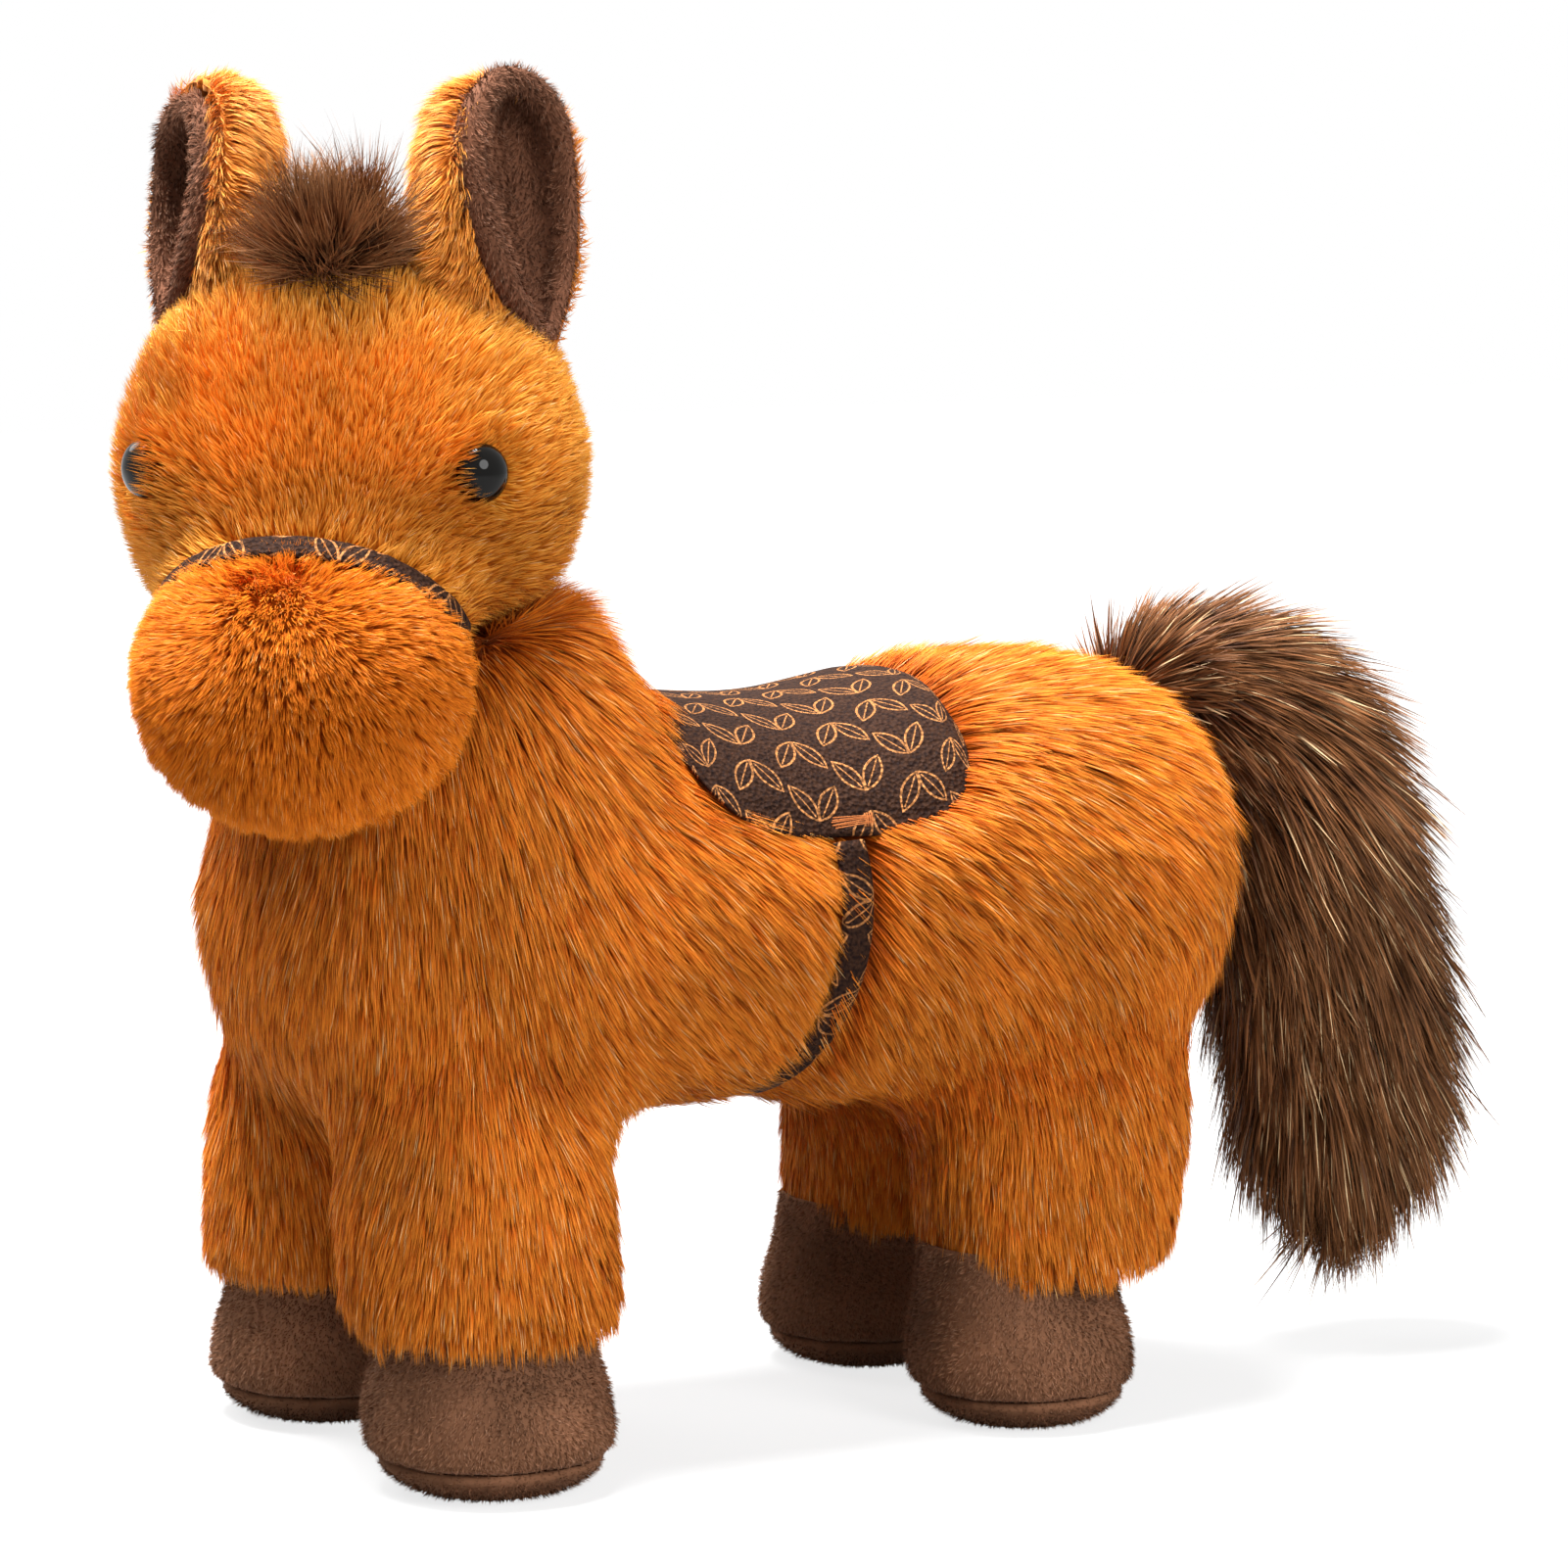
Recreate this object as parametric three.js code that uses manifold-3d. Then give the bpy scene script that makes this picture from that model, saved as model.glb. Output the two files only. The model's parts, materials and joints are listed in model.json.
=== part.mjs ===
// A standing plush horse: fur fabric skins sewn over soft stuffing, with plush hooves, a saddle
// pad, a girth strap and a noseband. It faces -Y, its left side is +X and it stands on z = 0.
// All sizes are in millimetres. A skin's outer face is where its combed pile ends.
import * as THREE from "three";
import Module from "manifold-3d";

const wasm = await Module();
wasm.setup();

// Clearances and cutting allowances
const seamGap = 0.3;
const cutOverrun = 4;

// Fabrics, each measured through its pile
const bodyPile = 8;
const headPile = 6;
const knitBacking = 1.2;
const hoofPlush = 2.4;
const earFur = 6;
const earPlush = 2.4;
const padThickness = 3.2;
const padSink = 2.4;
const strapThickness = 1.8;
const strapSink = 3.4;

// Torso, with the neck rising from its front
const torsoLength = 230;
const torsoWidth = 116;
const torsoHeight = 96;
const bellyHeight = 66;
const torsoBackShare = 0.048;
const neckWidth = 108;
const neckDepth = 98;
const neckRise = 26;
const neckShare = -0.29;

// Legs and hooves; a stance is the distance between a pair's hoof centres
const legWidth = 61;
const legDepth = 62;
const hindLegDepth = 66;
const hemHeight = 31;
const frontStance = 82;
const hindStance = 70;
const frontLegShare = -0.322;
const hindLegShare = 0.235;
const hoofWidth = 52;
const hoofLength = 52.5;
const hindHoofShare = 0.94;
const hoofBendShare = 0.18;
const soleHeight = 7.2;
const hoofTuck = 7;
const treadDepth = 1.3;

// Head, turned towards the toy's left
const headTurn = THREE.MathUtils.degToRad(51);
const headWidth = 100;
const headDepth = 97;
const headHeight = 96;
const headShare = -0.37;
const headLift = 45;
const muzzleWidth = 74;
const muzzleDepth = 66;
const muzzleHeight = 64;
const muzzleForward = 38;
const muzzleDrop = 40;

// Ears, forelock, eyes
const earHeight = 57;
const earWidth = 40;
const earSpacing = 80;
const earSetBack = 2;
const earLean = THREE.MathUtils.degToRad(9);
const leftEarTurn = THREE.MathUtils.degToRad(67);
const rightEarTurn = THREE.MathUtils.degToRad(57);
const earCup = THREE.MathUtils.degToRad(60);
const liningShare = 0.8;
const earZoneShare = 1.03;
const forelockWidth = 44;
const forelockDepth = 34;
const forelockHeight = 32;
const eyeDiameter = 12;
const eyeDome = 6.4;
const eyeAngle = THREE.MathUtils.degToRad(48);
const shankDiameter = 3.6;
const washerDiameter = 15;
const washerThickness = 1.6;

// Tail
const tailDrop = 140;
const tailReach = 62;
const tailWidth = 50;
const tailDepth = 58;
const tailCore = 13;

// Tack
const saddleLength = 68;
const saddleDrop = 31;
const saddleShare = 0.024;
const girthWidth = 7.2;
const girthBow = 9;
const nosebandWidth = 8.5;
const nosebandRise = 0.6;

// How closely forms are drawn: the share of a form's steps in each rounded end, and the shares of
// its steps and of the sides of its sections that the plainer wall inside a skin keeps
const turnShare = 0.3;
const plainStepShare = 0.65;
const plainSideShare = 0.27;

// Where the main forms lie
const torsoMiddle = torsoBackShare * torsoLength;
const torsoCentre = bellyHeight + torsoHeight / 2;
const torsoTop = bellyHeight + torsoHeight;
const at = (x, y, z) => new THREE.Vector3(x, y, z);
const X = at(1, 0, 0);
const Z = at(0, 0, 1);
const faceWay = at(0, -1, 0).applyAxisAngle(Z, headTurn);
const headLeft = at(1, 0, 0).applyAxisAngle(Z, headTurn);
const headCentre = at(0, headShare * torsoLength + torsoMiddle, torsoTop + headLift);

// A point given in the head's own directions: to its left, ahead and up from its centre.
function onHead(left, ahead, up) {
  const level = headCentre.clone().addScaledVector(headLeft, left).addScaledVector(faceWay, ahead);
  return level.addScaledVector(Z, up);
}

// A smooth curve through a table of shares that lie evenly from 0 to 1.
function eased(shares) {
  const curve = new THREE.CatmullRomCurve3(shares.map((share, i) => at(i, share, 0)));
  return (s) => curve.getPoint(s).y;
}

// How far a rounded end has closed at s: 1 along the form, 0 at its pole.
function closing(s, [start, end], bulge) {
  const t = start > 0 && s < start ? 1 - s / start : end > 0 && s > 1 - end ? 1 - (1 - s) / end : 0;
  return (1 - Math.min(1, t) ** bulge) ** (1 / bulge);
}

// A solid from rings of points, each ring closed to the next, with a point or a flat at each end.
function skinned(rings, firstPole, lastPole) {
  const around = rings[0].length;
  const points = [...rings.flat(), firstPole, lastPole];
  const faces = [];
  rings.slice(1).forEach((_, r) => {
    for (let k = 0; k < around; k++) {
      const [a, b] = [r * around + k, r * around + ((k + 1) % around)];
      faces.push([a, b, b + around], [a, b + around, a + around]);
    }
  });
  const base = (rings.length - 1) * around;
  for (let k = 0; k < around; k++) {
    const next = (k + 1) % around;
    faces.push([rings.length * around, next, k], [rings.length * around + 1, base + k, base + next]);
  }
  return closedSolid(points, faces);
}

function closedSolid(points, faces) {
  const vertProperties = Float32Array.from(points.flatMap((p) => [p.x, p.y, p.z]));
  const make = (triVerts) => new wasm.Manifold(new wasm.Mesh({ numProp: 3, vertProperties, triVerts }));
  const made = make(Uint32Array.from(faces.flat()));
  return made.volume() > 0 ? made : make(Uint32Array.from(faces.flatMap(([a, b, c]) => [a, c, b])));
}

// The shares along a form at which its sections stand, closer together where an end is rounded.
function stations(steps, ends) {
  const quarter = Math.PI / 2;
  const turns = ends.map((end) => (end > 0 ? Math.max(3, Math.round(steps * turnShare)) : 0));
  const rounded = (end) => {
    const angles = Array.from({ length: turns[end] }, (_, i) => ((i + 1) / turns[end]) * quarter);
    return angles.map((angle) => ends[end] * (1 - Math.cos(angle)));
  };
  const body = Math.max(1, steps - turns[0] - turns[1]);
  const straight = 1 - ends[0] - ends[1];
  const first = turns[0] ? rounded(0) : [0];
  const last = turns[1] ? rounded(1).toReversed() : [0];
  const between = Array.from({ length: body - 1 }, (_, i) => ends[0] + ((i + 1) / body) * straight);
  return [...first, ...between, ...last.map((s) => 1 - s)];
}

// A form that swells and tapers along a spine. Half widths lie along side and half depths across
// it; grow moves its face out or in, and run carries its flat ends on along the spine. The
// sections stand square to the spine, or lie level in a form that is level.
function swell(form, grow = 0, run = 0) {
  const { spine, side, width, depth, widthShares, depthShares, ends } = form;
  const { bulge = 2.3, square = 2.2, steps, around } = form;
  const curve = new THREE.CatmullRomCurve3(spine);
  const [wide, deep] = [eased(widthShares), eased(depthShares)];
  const alongAt = (s) => (form.level ? Z : curve.getTangent(s));
  const centreAt = (s) => {
    const end = s < 0.5 ? 0 : 1;
    const near = ends[end] > 0 ? Math.max(0, 1 - (end ? 1 - s : s) / ends[end]) : 0;
    const flat = ends[end] > 0 || (s > 0 && s < 1) ? 0 : run;
    return curve.getPoint(s).addScaledVector(alongAt(s), (end ? 1 : -1) * (near * grow + flat));
  };
  const ringAt = (s) => {
    const close = closing(s, ends, bulge);
    const across = alongAt(s).clone().cross(side).normalize();
    const halfWidth = ((width / 2) * wide(s) + grow) * close;
    const halfDepth = ((depth / 2) * deep(s) + grow) * close;
    return Array.from({ length: around }, (_, k) => {
      const turn = (k / around) * 2 * Math.PI;
      const [c, n] = [Math.cos(turn), Math.sin(turn)];
      const reach = (Math.abs(c) ** square + Math.abs(n) ** square) ** (-1 / square);
      const point = centreAt(s).addScaledVector(side, halfWidth * c * reach);
      return point.addScaledVector(across, halfDepth * n * reach);
    });
  };
  return skinned(stations(steps, ends).map(ringAt), centreAt(0), centreAt(1));
}

// The room inside a skin has plainer walls than the skin's face.
function inside(form, grow = 0, run = 0) {
  const steps = Math.ceil(form.steps * plainStepShare);
  const around = 2 * Math.ceil(form.around * plainSideShare);
  return swell({ ...form, steps, around }, grow, run);
}

// A box between two corners, used only as a cutter.
function block(low, high) {
  const corners = [[low.x, low.y], [high.x, low.y], [high.x, high.y], [low.x, high.y]];
  const ring = (z) => corners.map(([x, y]) => at(x, y, z));
  const middle = (z) => at((low.x + high.x) / 2, (low.y + high.y) / 2, z);
  return skinned([ring(low.z), ring(high.z)], middle(low.z), middle(high.z));
}

// A turned piece about an axis that leaves base: profile holds [radius, height] pairs.
function turned(profile, base, axis, around = 16) {
  const square = Math.abs(axis.z) > 0.9 ? X : Z;
  const u = axis.clone().cross(square).normalize();
  const v = axis.clone().cross(u).normalize();
  const rings = profile.slice(1, -1).map(([radius, height]) =>
    Array.from({ length: around }, (_, k) => {
      const turn = (k / around) * 2 * Math.PI;
      const rim = base.clone().addScaledVector(axis, height);
      rim.addScaledVector(u, radius * Math.cos(turn));
      return rim.addScaledVector(v, radius * Math.sin(turn));
    }),
  );
  const pole = ([, height]) => base.clone().addScaledVector(axis, height);
  return skinned(rings, pole(profile[0]), pole(profile.at(-1)));
}

// A disc about that axis, between two heights above its base.
function disc(radius, low, high, base, axis) {
  return turned([[0, low], [radius, low], [radius, high], [0, high]], base, axis);
}

// The outline of [y, z] points carried through the toy from side to side.
function throughSides(outline, halfWidth) {
  const ring = (x) => outline.map(([y, z]) => at(x, y, z));
  const shape = outline.map(([y, z]) => new THREE.Vector2(y, z));
  const count = outline.length;
  const caps = THREE.ShapeUtils.triangulateShape(shape, []);
  const faces = caps.flatMap(([a, b, c]) => [[a, b, c], [c + count, b + count, a + count]]);
  for (let k = 0; k < count; k++) {
    const next = (k + 1) % count;
    const wall = [[k, k + count, next + count], [k, next + count, next]];
    faces.push(...(THREE.ShapeUtils.isClockWise(shape) ? wall.map(([a, b, c]) => [a, c, b]) : wall));
  }
  return closedSolid([...ring(-halfWidth), ...ring(halfWidth)], faces.map(([a, b, c]) => [a, c, b]));
}

// Torso: a barrel that draws in a little at the waist, full at the chest and the rump.
const torsoDipShares = [-0.02, -0.02, -0.03, 0, 0];
const torso = {
  spine: torsoDipShares.map((dip, i) =>
    at(0, torsoMiddle + (i / 4 - 0.5) * torsoLength, torsoCentre + dip * torsoHeight),
  ),
  side: X,
  width: torsoWidth,
  depth: torsoHeight,
  widthShares: [0.94, 0.96, 0.93, 1, 1],
  depthShares: [0.92, 0.93, 0.92, 1.02, 1.02],
  ends: [0.22, 0.22],
  bulge: 2.5,
  square: 2.25,
  steps: 16,
  around: 24,
};

// Neck: leans forward out of the chest and narrows up to the head.
const neckMiddle = neckShare * torsoLength + torsoMiddle;
const neckLeanShares = [0.04, 0.02, -0.06, -0.13];
const neckHeights = [torsoCentre, torsoTop - torsoHeight / 4, torsoTop, torsoTop + neckRise];
const neck = {
  spine: neckLeanShares.map((lean, i) => at(0, neckMiddle + lean * neckDepth, neckHeights[i])),
  side: X,
  width: neckWidth,
  depth: neckDepth,
  widthShares: [1, 1, 0.84, 0.62],
  depthShares: [0.96, 0.98, 0.84, 0.62],
  ends: [0, 0.16],
  steps: 7,
  around: 20,
};

// Legs: one form each, splayed a little, with the hind pair drawn back into the haunches.
const stanceShares = [0.9, 0.84, 0.78, 0.66];
const setBackShares = [0.12, 0.144, 0.168, 0.18];
const legTopShare = 0.12;
const legTop = torsoCentre + legTopShare * torsoHeight;
const legHeights = [hemHeight, (hemHeight + bellyHeight) / 2, bellyHeight, legTop];
function legForm(sideways, hind) {
  const stance = (sideways * (hind ? hindStance : frontStance)) / 2;
  const y = (hind ? hindLegShare : frontLegShare) * torsoLength + torsoMiddle;
  const back = hind ? legDepth : 0;
  const depth = hind ? hindLegDepth : legDepth;
  return {
    spine: legHeights.map((z, i) => at(stanceShares[i] * stance, y + setBackShares[i] * back, z)),
    side: X,
    width: legWidth,
    depth,
    widthShares: hind ? [0.97, 0.96, 0.98, 0.94] : [1.02, 0.98, 0.98, 0.94],
    depthShares: hind ? [0.93, 0.96, 1.12, 1.28] : [1.03, 1, 1.06, 1.16],
    ends: [0, 0.5],
    level: true,
    bulge: 2.2,
    steps: 6,
    around: 16,
    stance,
    y,
    hind,
  };
}
const legs = {
  front_left: legForm(1, false),
  front_right: legForm(-1, false),
  hind_left: legForm(1, true),
  hind_right: legForm(-1, true),
};

// Hooves: short plush boots, fullest low down, whose tops tuck into the leg.
function hoofForm(leg) {
  const size = leg.hind ? hindHoofShare : 1;
  const top = hemHeight + hoofTuck;
  const within = (across, share) => across * share - 2 * (bodyPile + 2 * seamGap);
  const topWide = within(leg.width, leg.widthShares[0]) / hoofWidth;
  const topDeep = within(leg.depth, leg.depthShares[0]) / hoofLength;
  const middle = at(leg.stance, leg.y, 0);
  const tuck = at(stanceShares[0] * leg.stance, leg.spine[0].y, top);
  const low = middle.clone().setZ(-treadDepth);
  const bend = middle.clone().lerp(tuck, hoofBendShare).setZ(top / 2);
  return {
    spine: [low, bend, tuck],
    side: X,
    width: hoofWidth,
    depth: hoofLength,
    widthShares: [size, size, 0.98 * size, topWide, topWide * 0.97],
    depthShares: [size, size, 0.97 * size, topDeep, topDeep * 0.95],
    ends: [0.4, 0],
    level: true,
    bulge: 2.4,
    square: 2.1,
    steps: 8,
    around: 16,
  };
}

// Head and muzzle: two rounded forms along the way that the face looks.
const head = {
  spine: [-0.5, -0.15, 0.15, 0.5].map((share) => onHead(0, 0, share * headHeight)),
  side: headLeft,
  width: headWidth,
  depth: headDepth,
  widthShares: [0.96, 1, 1.01, 0.97, 0.94],
  depthShares: [0.94, 1, 1.01, 0.97, 0.94],
  ends: [0.46, 0.46],
  bulge: 2.25,
  square: 2.05,
  steps: 11,
  around: 22,
};
const muzzleWay = faceWay.clone().multiplyScalar(muzzleForward).addScaledVector(Z, -muzzleDrop).normalize();
const muzzle = {
  spine: [-0.5, 0, 0.5].map((share) => onHead(0, muzzleForward + share * muzzleDepth, -muzzleDrop)),
  side: headLeft,
  width: muzzleWidth,
  depth: muzzleHeight,
  widthShares: [0.96, 1, 1, 0.98],
  depthShares: [0.96, 1, 1, 0.96],
  ends: [0.46, 0.46],
  bulge: 2.15,
  square: 2.1,
  steps: 9,
  around: 20,
};

// Tail: a plume that rises from the rump, arches over and hangs beside the hind legs.
const rumpEnd = torsoMiddle + torsoLength / 2;
const tailSetInShare = 0.06;
const tailSetLowShare = 0.1;
const tailRoot = at(0, rumpEnd - tailSetInShare * torsoLength, torsoTop - tailSetLowShare * torsoHeight);
const tailReachShares = [-0.1, 0.16, 0.48, 0.74, 0.88, 0.74];
const tailDropShares = [0.04, 0, 0.1, 0.36, 0.69, 0.98];
const tailSpine = tailReachShares.map((reach, i) =>
  tailRoot.clone().add(at(0, reach * tailReach, -tailDropShares[i] * tailDrop)),
);
const tail = {
  spine: tailSpine,
  side: X,
  width: tailWidth,
  depth: tailDepth,
  widthShares: [0.5, 0.66, 0.88, 1, 1, 0.8],
  depthShares: [0.4, 0.56, 0.84, 1, 0.98, 0.72],
  ends: [0.04, 0.2],
  bulge: 2,
  steps: 15,
  around: 20,
};
const tailInside = {
  ...tail,
  width: tailCore,
  depth: tailCore,
  widthShares: [0.9, 1, 1, 0.9, 0.75, 0.6],
  depthShares: [0.9, 1, 1, 0.9, 0.75, 0.6],
  spine: tailSpine.slice(0, -1),
  steps: 12,
  around: 12,
};

// Solids that several pieces are cut by
const legForms = Object.values(legs);
const joined = (solids) => solids.reduce((whole, part) => whole.add(part));
const barrel = (grow) => swell(torso, grow).add(swell(neck, grow));
const room = (grow) => inside(torso, grow).add(inside(neck, grow));
const headBall = (grow) => swell(head, grow);
const headRoom = (grow) => inside(head, grow);
const legBores = joined(legForms.map((leg) => inside(leg, -bodyPile)));

// Saddle pad: the patch of the barrel inside an outline drawn from the side, sunk in the pile.
const saddleMiddle = torsoMiddle + saddleShare * torsoLength;
const saddleSteps = 14;
const saddleCornerPower = 0.6;
const saddleHemPower = 0.8;
const saddleOutline = (grow) => {
  const half = saddleLength / 2 + grow;
  const lower = Array.from({ length: saddleSteps + 1 }, (_, k) => {
    const turn = (k / saddleSteps) * Math.PI;
    const across = -Math.sign(Math.cos(turn)) * Math.abs(Math.cos(turn)) ** saddleCornerPower;
    const drop = Math.sin(turn) ** saddleHemPower * (saddleDrop + grow);
    return [saddleMiddle + across * half, torsoTop - drop];
  });
  const over = torsoTop + cutOverrun + neckRise;
  return [...lower, [saddleMiddle + half, over], [saddleMiddle - half, over]];
};
const padBand = (grow) => throughSides(saddleOutline(grow), torsoWidth);
const saddlePad = swell(torso, padThickness - padSink)
  .subtract(swell(torso, -padSink))
  .intersect(padBand(0))
  .subtract(swell(neck, seamGap));

// Girth: a strap from one edge of the pad to the other, round the belly, bowed to the rear.
const girthHeightShares = [0.72, 0.5, 0.25, 0, -0.3];
const girthBowShare = 0.55;
const girthBand = (grow) => {
  const bow = (share) => girthBow * (Math.cos((share - girthBowShare) * Math.PI) - 1);
  const edge = (way, share) => [
    saddleMiddle + bow(share) + way * (girthWidth / 2 + grow),
    bellyHeight + share * torsoHeight,
  ];
  const front = girthHeightShares.map((share) => edge(-1, share));
  const rear = girthHeightShares.toReversed().map((share) => edge(1, share));
  return throughSides([...front, ...rear], torsoWidth);
};
const girthStrap = swell(torso, strapThickness - strapSink)
  .subtract(swell(torso, -strapSink))
  .intersect(girthBand(0))
  .subtract(padBand(seamGap));

// Noseband: a strap round the muzzle where it meets the head, sunk in the muzzle's pile.
const nosebandShare = 0.22;
const seamReach = Math.hypot(muzzleForward, muzzleDrop) - nosebandShare * muzzleHeight;
const nosebandSlab = (grow) =>
  disc(muzzleWidth, seamReach - grow, seamReach + nosebandWidth + grow, headCentre, muzzleWay);
const noseband = swell(muzzle, nosebandRise)
  .subtract(swell(muzzle, -strapThickness))
  .intersect(nosebandSlab(0))
  .subtract(headBall(seamGap))
  .subtract(barrel(seamGap));

// Eyes: domed buttons whose shanks pass through the skin to a washer behind it.
const eyeReachShare = 0.505;
const domeRadiusShares = [0.94, 1, 0.9, 0.66, 0.34, 0];
const domeHeightShares = [0, 0.18, 0.52, 0.8, 0.95, 1];
function eyeSet(sideways) {
  const way = faceWay.clone().applyAxisAngle(Z, sideways * eyeAngle);
  const reach = headWidth * eyeReachShare - headPile + knitBacking;
  const seat = headCentre.clone().addScaledVector(way, reach);
  const radius = eyeDiameter / 2;
  const shank = shankDiameter / 2;
  const behind = -knitBacking - seamGap;
  const washerBack = behind - washerThickness;
  const end = washerBack - seamGap - knitBacking;
  const dome = domeRadiusShares.map((share, i) => [
    share * radius,
    seamGap + domeHeightShares[i] * (eyeDome - seamGap),
  ]);
  const eye = turned([[0, end], [shank, end], [shank, seamGap], ...dome], seat, way);
  const cut = (radius, low, high) => disc(radius, low, high, seat, way);
  const loose = washerDiameter / 2 + seamGap;
  const bore = cut(shank + seamGap, end - seamGap, cutOverrun);
  const socket = cut(radius + seamGap, 0, headPile + cutOverrun);
  const recess = cut(loose, end - seamGap, -knitBacking);
  const washer = cut(washerDiameter / 2, washerBack, behind).subtract(bore);
  const room = cut(loose, end - seamGap, cutOverrun);
  return { eye, washer, hole: socket.add(bore).add(recess), room };
}
const eyes = { left: eyeSet(1), right: eyeSet(-1) };

// Ears: a fur back and a plush lining, two leaves cupped towards the side.
const earWidthShares = [0.7, 0.94, 1, 0.96, 0.8, 0.4];
const earFootShare = 0.44;
const earRows = 9;
const earColumns = 8;
function earLeaf(sideways, share, lift, thickness) {
  const outline = eased(earWidthShares);
  const footHeight = headHeight / 2 - earFootShare * earHeight;
  const foot = onHead((sideways * earSpacing) / 2, -earSetBack, footHeight);
  const turn = sideways > 0 ? leftEarTurn : rightEarTurn;
  const opens = faceWay.clone().applyAxisAngle(Z, sideways * turn);
  const tipWay = Z.clone().applyAxisAngle(faceWay, sideways * earLean);
  const acrossWay = tipWay.clone().cross(opens).normalize();
  const start = (1 - share) / 2;
  const points = { front: [], back: [] };
  for (let r = 0; r <= earRows; r++) {
    const v = r / earRows;
    const bow = ((earWidth / 2) * share * outline(v)) / Math.sin(earCup);
    const up = foot.clone().addScaledVector(tipWay, (start + v * share) * earHeight);
    for (let c = 0; c <= earColumns; c++) {
      const u = (c / earColumns) * 2 - 1;
      const bend = u * earCup;
      const normal = opens.clone().multiplyScalar(Math.cos(bend)).addScaledVector(acrossWay, -Math.sin(bend));
      const middle = up.clone().addScaledVector(acrossWay, bow * Math.sin(bend));
      middle.addScaledVector(opens, -bow * (Math.cos(bend) - Math.cos(earCup)));
      const full = thickness * (1 - Math.abs(u) ** 6) * (1 - Math.abs(2 * v - 1) ** 8);
      points.front.push(middle.clone().addScaledVector(normal, lift + Math.max(full, 0)));
      points.back.push(middle.clone().addScaledVector(normal, lift + Math.min(full, 0)));
    }
  }
  const onRim = (r, c) => r === 0 || r === earRows || c === 0 || c === earColumns;
  const index = (layer, r, c) => {
    const sheet = layer && !onRim(r, c) ? points.front.length : 0;
    return sheet + r * (earColumns + 1) + c;
  };
  const faces = [];
  for (const layer of [0, 1]) {
    for (let r = 0; r < earRows; r++) {
      for (let c = 0; c < earColumns; c++) {
        const [a, b] = [index(layer, r, c), index(layer, r, c + 1)];
        const [d, e] = [index(layer, r + 1, c), index(layer, r + 1, c + 1)];
        faces.push(...(layer ? [[a, d, e], [a, e, b]] : [[a, e, d], [a, b, e]]));
      }
    }
  }
  return closedSolid([...points.front, ...points.back], faces);
}
const earBack = (sideways) => earLeaf(sideways, 1, 0, -earFur).subtract(headBall(seamGap));
const earLining = (sideways) => earLeaf(sideways, liningShare, seamGap, earPlush).subtract(headBall(seamGap));

// Forelock: a tuft that stands up from the brow between the ears.
const forelockShares = [0.18, 0.22, 0.2];
const forelockFootShare = 0.36;
const forelockFoot = forelockFootShare * headHeight;
const forelockForm = {
  spine: forelockShares.map((share, i) =>
    onHead(0, share * headDepth, forelockFoot + (i / 2) * forelockHeight),
  ),
  side: headLeft,
  width: forelockWidth,
  depth: forelockDepth,
  widthShares: [0.6, 0.96, 1, 0.8],
  depthShares: [0.6, 0.96, 1, 0.8],
  ends: [0.1, 0.5],
  bulge: 1.9,
  steps: 10,
  around: 18,
};
const earZones = joined([1, -1].map((way) => earLeaf(way, earZoneShare, seamGap, -earFur - 2 * seamGap)));
const forelock = swell(forelockForm).subtract(headBall(seamGap)).subtract(earZones);

// Skins: each is its form less the room for the stuffing, open at the seams.
const torsoSkin = swell(torso)
  .subtract(inside(torso, -bodyPile))
  .subtract(inside(neck, -bodyPile))
  .subtract(legBores)
  .subtract(padBand(seamGap).subtract(swell(torso, -padSink - seamGap)))
  .subtract(girthBand(seamGap).subtract(swell(torso, -strapSink - seamGap)).subtract(padBand(0)));
const neckSkin = swell(neck)
  .subtract(inside(neck, -bodyPile, cutOverrun))
  .subtract(swell(torso, seamGap))
  .subtract(headBall(seamGap));
const muzzleBore = inside(muzzle, -headPile);
const headSkin = headBall(0)
  .subtract(headRoom(-headPile))
  .subtract(inside(neck, -bodyPile))
  .subtract(muzzleBore)
  .subtract(eyes.left.hole)
  .subtract(eyes.right.hole);
const muzzleSkin = swell(muzzle)
  .subtract(muzzleBore)
  .subtract(headBall(seamGap))
  .subtract(barrel(seamGap))
  .subtract(nosebandSlab(seamGap).subtract(swell(muzzle, -strapThickness - seamGap)));
const farOut = torsoLength;
const otherSide = (stance) => {
  const edges = stance > 0 ? [-farOut, seamGap / 2] : [-seamGap / 2, farOut];
  return block(at(edges[0], -farOut, 0), at(edges[1], farOut, torsoTop));
};
const legSkin = (leg) => {
  const tube = swell(leg).subtract(inside(leg, -bodyPile, cutOverrun));
  return tube.subtract(barrel(seamGap)).subtract(otherSide(leg.stance));
};

// A hoof's upper and its sole meet at a seam just above the floor.
const between = (low, high) => block(at(-farOut, -farOut, low), at(farOut, farOut, high));
const hoofTop = hemHeight + hoofTuck;
const hoofShell = (leg) => {
  const form = hoofForm(leg);
  return swell(form).subtract(inside(form, -hoofPlush, cutOverrun).subtract(between(-hoofPlush, hoofPlush)));
};
const legWall = (leg) => swell(leg, seamGap).subtract(inside(leg, -bodyPile - seamGap, cutOverrun));
const hoofUpper = (leg) =>
  hoofShell(leg).intersect(between(soleHeight + seamGap, hoofTop)).subtract(legWall(leg));
const hoofSole = (leg) => hoofShell(leg).intersect(between(0, soleHeight));

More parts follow.
